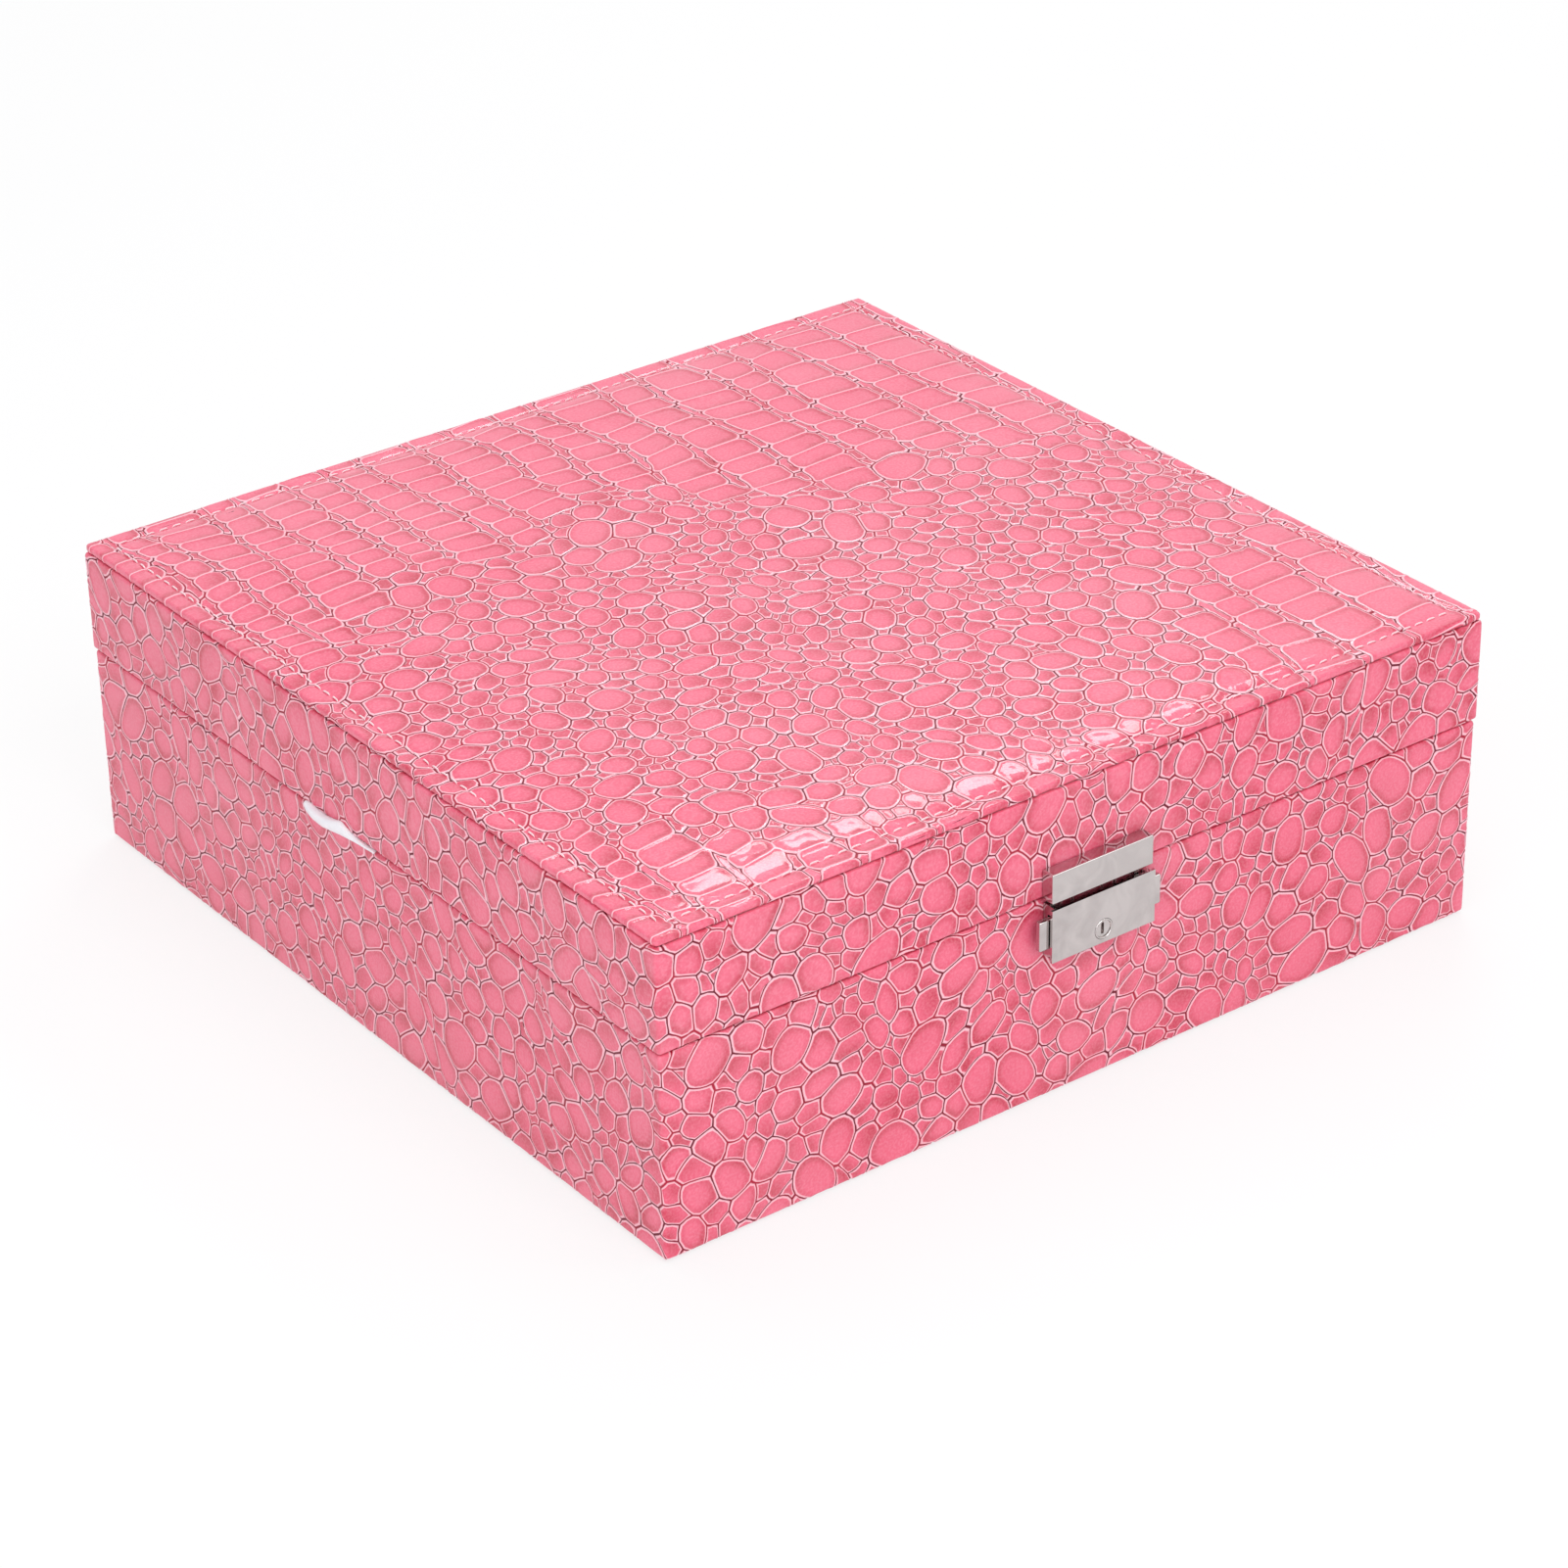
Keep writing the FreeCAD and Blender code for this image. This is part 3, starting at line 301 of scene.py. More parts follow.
def velvet(lining):
    """Short-pile velvet on card: deep looking in, pale where the pile was brushed, no gloss. The pile is
    drawn coarse, or it wouldn't show."""
    def paint(tree, where):
        strokes = sized(where, 34 * MM, Detail=2.0, Distortion=0.6)
        brushed = add(tree, "ShaderNodeTexNoise", strokes)
        pile = add(tree, "ShaderNodeTexNoise", sized(where, 0.55 * MM, Detail=3.0))
        shades = [(0.1, lining.velvet_colour), (1.0, lining.pile_colour)]
        base = add(tree, "ShaderNodeValToRGB", {"Fac": brushed}, stops=shades)
        tips = add(tree, "ShaderNodeMapRange", {"Value": pile, 1: 0.35, 2: 0.7, 3: 0.0, 4: 0.35})
        flecked = add(tree, "ShaderNodeMix", {0: tips, 6: base, 7: lining.pile_colour}, **MIXED)
        return {
            "Base Color": flecked, "Roughness": 0.9, "Specular IOR Level": 0.15,
            "Sheen Weight": 0.6, "Sheen Roughness": 0.35, "Sheen Tint": linear("#FFD9DF"),
            "Normal": add(tree, "ShaderNodeBump", {"Height": pile, "Distance": 0.12 * MM}),
        }

    return made("short_pile_velvet", paint)


def fibrous(name, pale, dark, fibre, rough, sheen=0.0):
    """Pressed fibres, as in felt and board: matt, flecked and a little cloudy. The fibres are drawn coarse,
    or they wouldn't show."""
    def paint(tree, where):
        flecks = add(tree, "ShaderNodeTexNoise", sized(where, fibre, Detail=5.0))
        clouds = add(tree, "ShaderNodeTexNoise", sized(where, 25 * fibre, Detail=3.0))
        shade = add(tree, "ShaderNodeValToRGB", {"Fac": flecks}, stops=[(0.3, pale), (0.7, dark)])
        aged = add(tree, "ShaderNodeMapRange", {"Value": clouds, 1: 0.3, 2: 0.7, 3: 0.0, 4: 0.25})
        return {
            "Base Color": add(tree, "ShaderNodeMix", {0: aged, 6: shade, 7: dark}, **MIXED),
            "Roughness": rough, "Sheen Weight": sheen,
            "Normal": add(tree, "ShaderNodeBump", {"Height": flecks, "Distance": 0.2 * fibre}),
        }

    return made(name, paint)


def pressed_felt(lining):
    """Pressed wool felt: dark and dull, with short tangled fibres."""
    return fibrous("pressed_wool_felt", lining.felt_colour, linear("#57494B"), 0.8 * MM, 0.95, 0.25)


def pressed_fibreboard():
    """Fibreboard, hot-pressed from wood: brown, with pale flecks."""
    return fibrous("pressed_fibreboard", linear("#B59468"), linear("#8A6A45"), 0.7 * MM, 0.85)


def grey_card():
    """Grey card, rolled from waste paper: dull, with dark flecks."""
    return fibrous("rolled_grey_card", linear("#A9A49B"), linear("#837E76"), 0.5 * MM, 0.85)


def satin(lining):
    """Woven polyester satin: a silky sheen across fine ribs. The ribs are drawn coarse, or they wouldn't
    show."""
    def paint(tree, where):
        weave = {"Vector": where, "Scale": 0.5 / (0.6 * MM), "Distortion": 0.6}
        ribs = add(tree, "ShaderNodeTexWave", weave, take="Fac", bands_direction="Y")
        soft = add(tree, "ShaderNodeTexNoise", sized(where, 4 * MM, Detail=3.0))
        shades = [(0.3, lining.ribbon_colour), (0.9, linear("#E4E4EE"))]
        return {
            "Base Color": add(tree, "ShaderNodeValToRGB", {"Fac": soft}, stops=shades), "Sheen Weight": 0.3,
            "Roughness": add(tree, "ShaderNodeMapRange", {"Value": ribs, 3: 0.3, 4: 0.42}),
            "Normal": add(tree, "ShaderNodeBump", {"Height": ribs, "Distance": 0.02 * MM}),
        }

    return made("woven_satin", paint)


def silvered_glass():
    """Float glass silvered behind: a clear mirror, a little dusty."""
    def paint(tree, where):
        dust = add(tree, "ShaderNodeTexNoise", sized(where, 12 * MM, Detail=5.0))
        shades = [(0.3, linear("#ECF0EF")), (0.9, linear("#E6ECEA"))]
        return {
            "Base Color": add(tree, "ShaderNodeValToRGB", {"Fac": dust}, stops=shades), "Metallic": 1.0,
            "Roughness": add(tree, "ShaderNodeMapRange", {"Value": dust, 1: 0.3, 2: 0.7, 3: 0.01, 4: 0.025}),
        }

    return made("silvered_float_glass", paint)


def open_foam():
    """Polyurethane foam, blown and sliced: cream, matt and full of open cells."""
    def paint(tree, where):
        cells = add(tree, "ShaderNodeTexVoronoi", sized(where, 0.9 * MM), take="Distance")
        shades = [(0.1, linear("#CFC49C")), (0.8, linear("#F4ECCB"))]
        return {
            "Base Color": add(tree, "ShaderNodeValToRGB", {"Fac": cells}, stops=shades), "Roughness": 0.95,
            "Normal": add(tree, "ShaderNodeBump", {"Height": cells, "Distance": 0.3 * MM}),
        }

    return made("polyurethane_foam", paint)


def shown(tree):
    """1 for a ray that shows what lies behind the object: from the camera, off a gloss or through glass."""
    kinds = ("Is Camera Ray", "Is Glossy Ray", "Is Transmission Ray")
    camera, gloss, glass = (add(tree, "ShaderNodeLightPath", take=kind) for kind in kinds)
    both = add(tree, "ShaderNodeMath", {0: camera, 1: gloss}, operation="ADD", use_clamp=True)
    return add(tree, "ShaderNodeMath", {0: both, 1: glass}, operation="ADD", use_clamp=True)


def studio_floor(stage):
    """Painted board: matt and pale, a little uneven. Seen directly or in metal, it fades towards white."""
    def paint(tree, where):
        clouds = add(tree, "ShaderNodeTexNoise", sized(where, 0.4))
        shades = [(0.3, stage.floor_colour), (0.9, linear("#F4F4F5"))]
        shade = add(tree, "ShaderNodeValToRGB", {"Fac": clouds}, stops=shades)
        board = add(tree, "ShaderNodeBsdfPrincipled", {"Base Color": shade, "Roughness": 0.7})
        glow = add(tree, "ShaderNodeEmission", {"Strength": 1.0})
        share = add(tree, "ShaderNodeMath", {0: shown(tree), 1: stage.fade}, operation="MULTIPLY")
        return add(tree, "ShaderNodeMixShader", {0: share, 1: board, 2: glow})

    return made("painted_floor", paint)


# Mesh helpers.


def placed(name, mesh, material):
    """A mesh as a smooth object of the scene, in the row frame."""
    mesh.materials.append(material)
    mesh.polygons.foreach_set("use_smooth", [True] * len(mesh.polygons))
    thing = bpy.data.objects.new(name, mesh)
    bpy.context.scene.collection.objects.link(thing)
    return thing


def built(name, points, faces, material):
    """A new mesh object of points and faces."""
    mesh = bpy.data.meshes.new(name)
    mesh.from_pydata([tuple(p) for p in points], [], [tuple(f) for f in faces])
    return placed(name, mesh, material)


def joined(one, two):
    """Faces between two rings of as many points."""
    ahead = [*range(1, len(one)), 0]
    return [[one[k], one[n], two[n], two[k]] for k, n in enumerate(ahead)]


def tube(first, rings, ways):
    """Faces of a closed tube: rings of points, numbered from first on, and a cap at each end."""
    loops = [range(first + k * ways, first + (k + 1) * ways) for k in range(rings)]
    faces = [face for one, two in zip(loops, loops[1:]) for face in joined(one, two)]
    return faces + [loops[0][::-1], loops[-1]]


def slab(rows, columns):
    """Faces of a closed slab: two grids of points, the upper one numbered first."""
    faces = []

    def at(i, j, under=0):
        return (under * rows + i) * columns + j

    for i in range(rows - 1):
        for j in range(columns - 1):
            faces.append((at(i, j), at(i + 1, j), at(i + 1, j + 1), at(i, j + 1)))
            faces.append((at(i, j, 1), at(i, j + 1, 1), at(i + 1, j + 1, 1), at(i + 1, j, 1)))
    for i in range(rows - 1):
        for j in (0, columns - 1):
            faces.append((at(i, j), at(i + 1, j), at(i + 1, j, 1), at(i, j, 1)))
    for j in range(columns - 1):
        for i in (0, rows - 1):
            faces.append((at(i, j), at(i, j + 1), at(i, j + 1, 1), at(i, j, 1)))
    return faces


def opened(mesh):
    """A mesh opened for editing."""
    shape = bmesh.new()
    shape.from_mesh(mesh)
    return shape


def closed(shape, mesh):
    """Write what was edited into a mesh."""
    shape.to_mesh(mesh)
    shape.free()


def cleaned(shape):
    """Take doubled points out of a mesh, and the slivers that cuts and bevels leave."""
    bmesh.ops.remove_doubles(shape, verts=shape.verts, dist=SPECK)
    bmesh.ops.dissolve_degenerate(shape, dist=SPECK, edges=shape.edges)


def evened(thing):
    """Normals weighted by face area."""
    weigh = thing.modifiers.new("even_shading", "WEIGHTED_NORMAL")
    weigh.keep_sharp = True
    return thing


def tidied(thing, angle=30):
    """Faces turned outwards, normals weighted by face area, sharp above an angle."""
    shape = opened(thing.data)
    bmesh.ops.recalc_face_normals(shape, faces=shape.faces)
    closed(shape, thing.data)
    thing.data.set_sharp_from_angle(angle=math.radians(angle))
    return evened(thing)


def seated(thing, node):
    """Let a piece stand for a CAD node: the node is hidden and the piece put on its body."""
    bodies = frame["record"]["behaviour"]["bodies"]
    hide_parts(node)
    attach(thing, next(b for b, nodes in bodies.items() if node in nodes))
    return thing


def softened(node, material, width, segments=2):
    """A copy of a CAD node with its edges rounded, to stand for it."""
    flat, sharp = math.radians(1), math.radians(35)
    shape = opened(frame["nodes"][node].data)
    bmesh.ops.remove_doubles(shape, verts=shape.verts, dist=SPECK)
    bmesh.ops.dissolve_limit(shape, angle_limit=flat, verts=shape.verts, edges=shape.edges)
    edges = [e for e in shape.edges if len(e.link_faces) == 2 and e.calc_face_angle() > sharp]
    bmesh.ops.bevel(
        shape, geom=edges, offset=width, segments=segments, profile=0.5, affect="EDGES", clamp_overlap=True,
    )
    cleaned(shape)
    mesh = bpy.data.meshes.new(node + "_finished")
    closed(shape, mesh)
    return seated(tidied(placed(node + "_finished", mesh, material)), node)


# Leather sheets, drawn flat in millimetres.


class Hide:
    """A sheet of grain: discs that claim the sheet between them, grouped into scales."""

    # The side of the squares that discs are looked up by, and how far a disc is shaken out of line.
    REACH = 24.0
    SHAKE = 0.06

    def __init__(self, width, height, seed):
        self.width, self.height = width, height
        self.random = np.random.default_rng(seed)
        self.discs = []
        self.owners = []
        self.grid = {}
        self.belly = set()
        self.scales = 0

    def near(self, x, y):
        """Numbers of the discs about a place."""
        column, row = int(x // self.REACH), int(y // self.REACH)
        for i in (column - 1, column, column + 1):
            for j in (row - 1, row, row + 1):
                yield from self.grid.get((i, j), ())

    def fits(self, discs, closeness):
        """Whether new discs keep their distance from all others."""
        for x, y, r in discs:
            for k in self.near(x, y):
                ox, oy, other = self.discs[k]
                if (x - ox) ** 2 + (y - oy) ** 2 < (closeness * (r + other)) ** 2:
                    return False
        return True

    def add(self, discs):
        """One more scale, made of discs."""
        for x, y, r in discs:
            shake = self.SHAKE * (self.random.random(3) - 0.5)
            self.grid.setdefault((int(x // self.REACH), int(y // self.REACH)), []).append(len(self.discs))
            self.discs.append((x + shake[0], y + shake[1], r + shake[2]))
            self.owners.append(self.scales)
        self.scales += 1

    def scatter(self, radius, tries, closeness, longest, local=lambda x, y: 1.0, way=(0.5, 1.0)):
        """Throw scales of about one radius at the sheet and keep those that fit. Local scales or refuses
        them, and way is the middle and the spread of the angle that they stretch along, in half turns."""
        least, spread, oval = 0.88, 0.24, 0.25
        for a, b, c, d, e in self.random.random((tries, 5)):
            x, y = a * self.width, b * self.height
            r = radius * (least + spread * c) * local(x, y)
            if not r:
                continue
            half = longest * r * d
            turn = math.pi * (way[0] + way[1] * (e - 0.5))
            step = (half * math.cos(turn), half * math.sin(turn))
            row = (-1, 1) if half > oval * r else (0,)
            discs = [(x + k * step[0], y + k * step[1], r) for k in row]
            if self.fits(discs, closeness):
                self.add(discs)

    def shares(self):
        """Each disc's share of the sheet, as corners (x, y, number of the disc across the next side)."""
        largest = max(r for _, _, r in self.discs)
        whole = [(0, 0, -1), (self.width, 0, -2), (self.width, self.height, -3), (0, self.height, -4)]
        found = []
        for i, (x, y, r) in enumerate(self.discs):
            others = [(math.dist(self.discs[k][:2], (x, y)), k) for k in self.near(x, y) if k != i]
            corners = whole
            for distance, k in sorted(others):
                ox, oy, other = self.discs[k]
                far = max((cx - x) ** 2 + (cy - y) ** 2 for cx, cy, _ in corners)
                if (distance ** 2 + r * r - largest * largest) / (2 * distance) > math.sqrt(far):
                    break
                nx, ny = (ox - x) / distance, (oy - y) / distance
                limit = nx * x + ny * y + (distance ** 2 + r * r - other * other) / (2 * distance)
                corners = clipped(corners, nx, ny, limit, k)
                if len(corners) < 3:
                    break
            found.append(corners if len(corners) > 2 else [])
        return found


def clipped(corners, nx, ny, limit, label):
    """A convex outline cut by a straight line; the new side carries the label."""
    sides = [nx * x + ny * y - limit for x, y, _ in corners]
    if max(sides) <= 0:
        return corners
    result = []
    for i, (x, y, side) in enumerate(corners):
        x2, y2, _ = corners[(i + 1) % len(corners)]
        here, there = sides[i], sides[(i + 1) % len(corners)]
        if here <= 0:
            result.append((x, y, side))
        if (here <= 0) != (there <= 0):
            t = here / (here - there)
            result.append((x + t * (x2 - x), y + t * (y2 - y), label if here <= 0 else side))
    return result


def outlines(hide, step):
    """Points of the sheet's groove lines, each scale's outline as numbers of points, and the scales'
    numbers."""
    places, index = [], {}
    owners = hide.owners

    def corner(i, before, after, x, y):
        key = tuple(sorted((i, before, after)))
        if key not in index:
            index[key] = len(places)
            places.append((x, y))
        return index[key]

    sides = {}
    for i, corners in enumerate(hide.shares()):
        numbers = [corner(i, corners[k - 1][2], c[2], c[0], c[1]) for k, c in enumerate(corners)]
        for k, (_, _, across) in enumerate(corners):
            if across < 0 or owners[across] != owners[i]:
                a, b = numbers[k], numbers[(k + 1) % len(numbers)]
                if a != b:
                    sides.setdefault(owners[i], {})[a] = b
    runs = {}

    def run(a, b):
        """Points from a to b along a side, without b."""
        key = (min(a, b), max(a, b))
        if key not in runs:
            (x1, y1), (x2, y2) = places[key[0]], places[key[1]]
            count = max(1, round(math.hypot(x2 - x1, y2 - y1) / step))
            runs[key] = []
            for k in range(1, count):
                runs[key].append(len(places))
                places.append((x1 + (x2 - x1) * k / count, y1 + (y2 - y1) * k / count))
        middle = runs[key] if a < b else runs[key][::-1]
        return [a] + middle

    loops, numbers = [], []
    for number, ways in sides.items():
        while ways:
            start = at = next(iter(ways))
            loop = []
            while at in ways:
                ahead = ways.pop(at)
                loop += run(at, ahead)
                at = ahead
            if at == start and len(loop) > 2:
                loops.append(loop)
                numbers.append(number)
    return np.array(places), loops, numbers


def area_of(points):
    """Signed area of an outline."""
    x, y = points.T
    return 0.5 * float(np.sum(x * np.roll(y, -1) - y * np.roll(x, -1)))


def blurred(values):
    """Values round a loop, each drawn towards its neighbours."""
    return 0.5 * values + 0.25 * (np.roll(values, 1, 0) + np.roll(values, -1, 0))


def rounded(points, loops, passes, size, rounds):
    """Draw each outline rounder, the larger scale of two having more say over the line they share. Passes is
    how often each outline is smoothed in one round."""
    hair, most, power = 1e-6, 1.15, 1.4
    fixed = ((points < hair) | (points > np.array(size) - hair)).any(1)
    for _ in range(rounds):
        total = np.zeros_like(points)
        weight = np.full(len(points), 1e-9)
        for loop, count in zip(loops, passes):
            line = points[loop]
            before = abs(area_of(line)) + hair
            centre = line.mean(0)
            smooth = line
            for _ in range(count):
                smooth = blurred(smooth)
            after = abs(area_of(smooth)) + hair
            smooth = centre + (smooth - centre) * min(most, math.sqrt(before / after))
            say = before ** power
            np.add.at(total, loop, smooth * say)
            np.add.at(weight, loop, say)
        moved = total / weight[:, None]
        still = fixed | (weight < hair)
        moved[still] = points[still]
        points = moved
    return points


def drawn_in(line, centre, inset, rounds):
    """An outline drawn in by an even margin towards its centre, with its corners rounded off."""
    hair, least_slant, least_share = 1e-9, 0.45, 0.15
    spokes = line - centre
    reach = np.hypot(*spokes.T) + hair
    along = np.roll(line, -1, 0) - np.roll(line, 1, 0)
    across = np.stack([along[:, 1], -along[:, 0]], 1)
    slant = np.abs((spokes * across).sum(1)) / (reach * (np.hypot(*across.T) + hair))
    drawn = np.maximum(reach - inset / np.clip(slant, least_slant, 1), least_share * reach)
    for _ in range(rounds):
        drawn = np.minimum(drawn, blurred(drawn))
    return centre + spokes * (drawn / reach)[:, None]


class Sheet:
    """A flat sheet of scales: points with place, height, inset from the nearest line and share of painted
    shade, and faces."""

    # A scale's rings from its outline inwards: inset, height as a share of the dish, inset shown and share of
    # painted shade.
    RINGS = {
        "large": ((0.38, 0.0, 0.36, 0.0), (1.0, -1.0, 1.0, 1.0), (2.6, -0.5, 2.6, 0.25)),
        "middle": ((0.38, 0.0, 0.36, 0.0), (1.0, -0.9, 1.4, 1.0)),
        "small": ((0.34, 0.0, 0.36, 0.0), (0.85, -0.7, 1.2, 1.0)),
        "tiny": ((0.42, -0.4, 0.9, 1.0),),
    }
    # The shortest mean reach, outline to centre, of each kind.
    KINDS = (("large", 4.2), ("middle", 2.7), ("small", 1.15), ("tiny", 0.0))
    # Lines grow shallow and deep again along two slow waves: radians per millimetre, and where they begin.
    WAVES = (((0.31, 0.12), 0.0), ((-0.17, 0.36), 2.0))
    # How much the waves and chance have to do with that, and the shallowest that a line gets.
    SWAY, CHANCE, SHALLOWEST = 0.4, 0.4, 0.9
    # A groove's share of its depth where it is deepest, and what it loses where it is shallow.
    DEEPEST, LOSS = 1.1, 0.5
    # The weakest painted shade in a scale and the spread of the others, and how quickly it fades round a large
    # scale.
    WEAKEST, SPREAD, FADING = 0.55, 0.45, 1.5
    # How evenly painted shade fills a small scale's dip, and how far the shaded side of a large one may turn.
    EVEN, WANDER = 0.72, 1.6

    def __init__(self, hide, leather, step, warp, fade, shaded_side=None):
        """Fade is how many lines are shallow. The last argument is the side of each scale given painted shade,
        or None for any side.
        """
        dish, rim, narrow = leather.dish / MM, 0.3, 0.4
        lines, loops, numbers = outlines(hide, step)
        passes = [1 if number in hide.belly else 3 for number in numbers]
        lines = rounded(lines, loops, passes, (hide.width, hide.height), 2)
        plain = np.ones(len(lines), bool)
        for loop, number in zip(loops, numbers):
            if number not in hide.belly:
                plain[loop] = False
        waves = sum(np.sin(lines @ np.array(way) + begin) for way, begin in self.WAVES)
        chance = self.CHANCE * hide.random.random(len(lines))
        shallow = np.clip(fade + self.SWAY * waves + chance, 0, self.SHALLOWEST)
        height = np.where(plain, 0.0, -leather.groove / MM * (self.DEEPEST - self.LOSS * shallow))
        # On the lines, the share of the painted shade colour is how shallow the line is, so shallow lines are
        # drawn paler.
        points = [np.column_stack([lines, height, rim * plain, np.where(plain, 0.0, shallow)])]
        count = len(lines)
        self.faces = []
        for loop, number in zip(loops, numbers):
            line = lines[loop]
            centre = line.mean(0)
            spokes = line - centre
            reach = np.hypot(*spokes.T)
            kind = next(name for name, least in self.KINDS if reach.mean() > least)
            # Painted shade: darker colour on one side of a large scale's dip, and evenly in a small one's,
            # standing in for the light across the dished scales.
            strength = self.WEAKEST + self.SPREAD * hide.random.random()
            turn = hide.random.random()
            side = 2 * math.pi * turn if shaded_side is None else shaded_side + self.WANDER * (turn - 0.5)
            toward = 0.5 + 0.5 * np.cos(np.arctan2(spokes[:, 1], spokes[:, 0]) - side)
            one_sided = kind in ("large", "middle")
            shade_amount = strength * (toward ** self.FADING if one_sided else np.full(len(loop), self.EVEN))
            outer = list(loop)
            for inset, sink, tone, share in self.RINGS[kind]:
                drawn = drawn_in(line, centre, min(inset, 0.8 * reach.min()), 1 + int(1.5 * inset))
                inner = list(range(count, count + len(loop)))
                depth = np.full(len(loop), sink * dish)
                # Belly scales of one column share a single narrow line.
                shown_inset = tone + narrow * plain[loop]
                points.append(np.column_stack([drawn, depth, shown_inset, share * shade_amount]))
                count += len(loop)
                self.faces += joined(outer, inner)
                outer = inner
            self.faces.append(outer)
        self.points = np.concatenate(points)
        self.points[:, :2] = warp(self.points[:, :2])

    def corners(self):
        """The faces' corners in one row, where each face starts in it, and the faces' sizes."""
        sizes = np.array([len(f) for f in self.faces])
        row = np.fromiter((c for f in self.faces for c in f), int, sizes.sum())
        return row, np.concatenate([[0], np.cumsum(sizes)[:-1]]), sizes

    def split(self, way, place, within=None):
        """Cut every face that a straight line crosses; way is the line's normal. Within limits it by a
        test."""
        hair = 1e-5
        side = self.points[:, :2] @ np.array(way, float) - place
        side[np.abs(side) < hair] = 0
        row, starts, _ = self.corners()
        low, high = (reach.reduceat(side[row], starts) for reach in (np.minimum, np.maximum))
        made, fresh = {}, []
        for number in np.nonzero((low < 0) & (high > 0))[0]:
            face = self.faces[number]
            if within and not within(*self.points[face, :2].mean(0)):
                continue
            below, above = [], []
            for a, b in zip(face, face[1:] + face[:1]):
                if side[a] <= 0:
                    below.append(a)
                if side[a] >= 0:
                    above.append(a)
                if side[a] * side[b] < 0:
                    key = (min(a, b), max(a, b))
                    if key not in made:
                        t = side[a] / (side[a] - side[b])
                        made[key] = len(self.points) + len(fresh)
                        fresh.append(self.points[a] + t * (self.points[b] - self.points[a]))
                    below.append(made[key])
                    above.append(made[key])
            self.faces[number] = below
            self.faces.append(above)
        if fresh:
            self.points = np.concatenate([self.points, np.array(fresh)])
        self.faces = [f for f in self.faces if len(f) > 2]

    def keep(self, test):
        """Keep the faces whose middles pass a test."""
        row, starts, sizes = self.corners()
        middles = np.add.reduceat(self.points[row, :2], starts, axis=0) / sizes[:, None]
        self.faces = [f for f, good in zip(self.faces, test(middles)) if good]

    def trim(self, low, high):
        """Cut the sheet to a rectangle."""
        for axis, way in enumerate(((1, 0), (0, 1))):
            self.split(way, low[axis])
            self.split(way, high[axis])
        self.keep(lambda m: np.all((m > np.array(low)) & (m < np.array(high)), axis=1))

    def laid(self, name, place, material):
        """The sheet as a mesh object; place turns flat points and heights into points in millimetres."""
        used = np.unique(self.corners()[0])
        number = np.full(len(self.points), -1)
        number[used] = np.arange(len(used))
        points = self.points[used]
        where = place(points[:, 0], points[:, 1], points[:, 2]) * MM
        thing = built(name, where, [number[f] for f in self.faces], material)
        # The inset and the share of painted shade go to the material as attributes.
        for label, column in (("inset", 3), ("painted_shade", 4)):
            layer = thing.data.attributes.new(label, "FLOAT", "POINT")
            layer.data.foreach_set("value", points[:, column].astype(np.float32))
        shape = opened(thing.data)
        cleaned(shape)
        closed(shape, thing.data)
        return evened(thing)


def drift(random, amount, wave):
    """A smooth pull of the sheet that stretches scales here and there."""
    count, least, spread = 8, 0.8, 0.6
    turns = random.random((count, 3)) * 2 * math.pi
    waves = wave * (least + spread * random.random(count))

    def pull(places):
        moved = places.copy()
        for (turn, phase, way), size in zip(turns, waves):
            along = places @ np.array([math.cos(turn), math.sin(turn)])
            swing = np.sin(along * 2 * math.pi / size + phase)
            moved = moved + amount / 2 * swing[:, None] * np.array([math.cos(way), math.sin(way)])
        return moved

    return pull


def pebbles(hide, radii, tries, closeness, local=lambda x, y: 1.0, way=(0.5, 1.0)):
    """Fill a sheet with round scales, a few of the largest first, and small ones in the gaps."""
    more, longest = 1.8, 0.55
    for k, radius in enumerate(radii):
        hide.scatter(radius, int(tries * more ** k), closeness, longest, local, way)
    touching, slender = 1.0, 1.7
    for radius, share in ((1.3, 25), (0.8, 14)):
        hide.scatter(radius, int(share * tries), touching, slender)


class Profile:
    """A line of straight runs and arcs in a plane of outwards and up, with its normals."""

    def __init__(self, start, way, parts):
        """Each part is a run's length and no radius, or an arc's angle and its radius."""
        self.parts = []
        self.length = 0.0
        at, turn = np.array(start, float), way
        for amount, radius in parts:
            size = amount if radius is None else abs(amount) * radius
            self.parts.append((self.length, size, at, turn, amount, radius))
            if radius is None:
                at = at + amount * np.array([math.cos(turn), math.sin(turn)])
            else:
                hub = self.hub(at, turn, amount, radius)
                c, s = math.cos(amount), math.sin(amount)
                at = hub + np.array([[c, -s], [s, c]]) @ (at - hub)
                turn += amount
            self.length += size

    def hub(self, at, turn, amount, radius):
        """The middle of an arc."""
        return at + np.array([-math.sin(turn), math.cos(turn)]) * math.copysign(radius, amount)

    def at(self, place, height):
        """Points at places along the line, raised by heights to its right-hand side."""
        hair = 1e-9
        out = np.zeros((len(place), 2))
        place = np.clip(place, 0, self.length)
        for begin, size, at, turn, amount, radius in self.parts:
            last = begin + size >= self.length - hair
            here = (place >= begin - hair) & ((place < begin + size) | last)
            t = place[here] - begin
            if radius is None:
                line = at + t[:, None] * np.array([math.cos(turn), math.sin(turn)])
                angle = np.full(len(t), turn)
            else:
                hub = self.hub(at, turn, amount, radius)
                swept = np.sign(amount) * t / radius
                c, s = np.cos(swept), np.sin(swept)
                arm = at - hub
                line = hub + np.column_stack([c * arm[0] - s * arm[1], s * arm[0] + c * arm[1]])
                angle = turn + swept
            normal = np.column_stack([np.sin(angle), -np.cos(angle)])
            out[here] = line + normal * height[here][:, None]
        return out

    def breaks(self, steps=3):
        """Places along the line where flat faces have to be cut so that it bends."""
        found = []
        for begin, size, _, _, _, radius in self.parts:
            count = 1 if radius is None else steps
            found += [begin + size * k / count for k in range(count)]
        return found[1:]


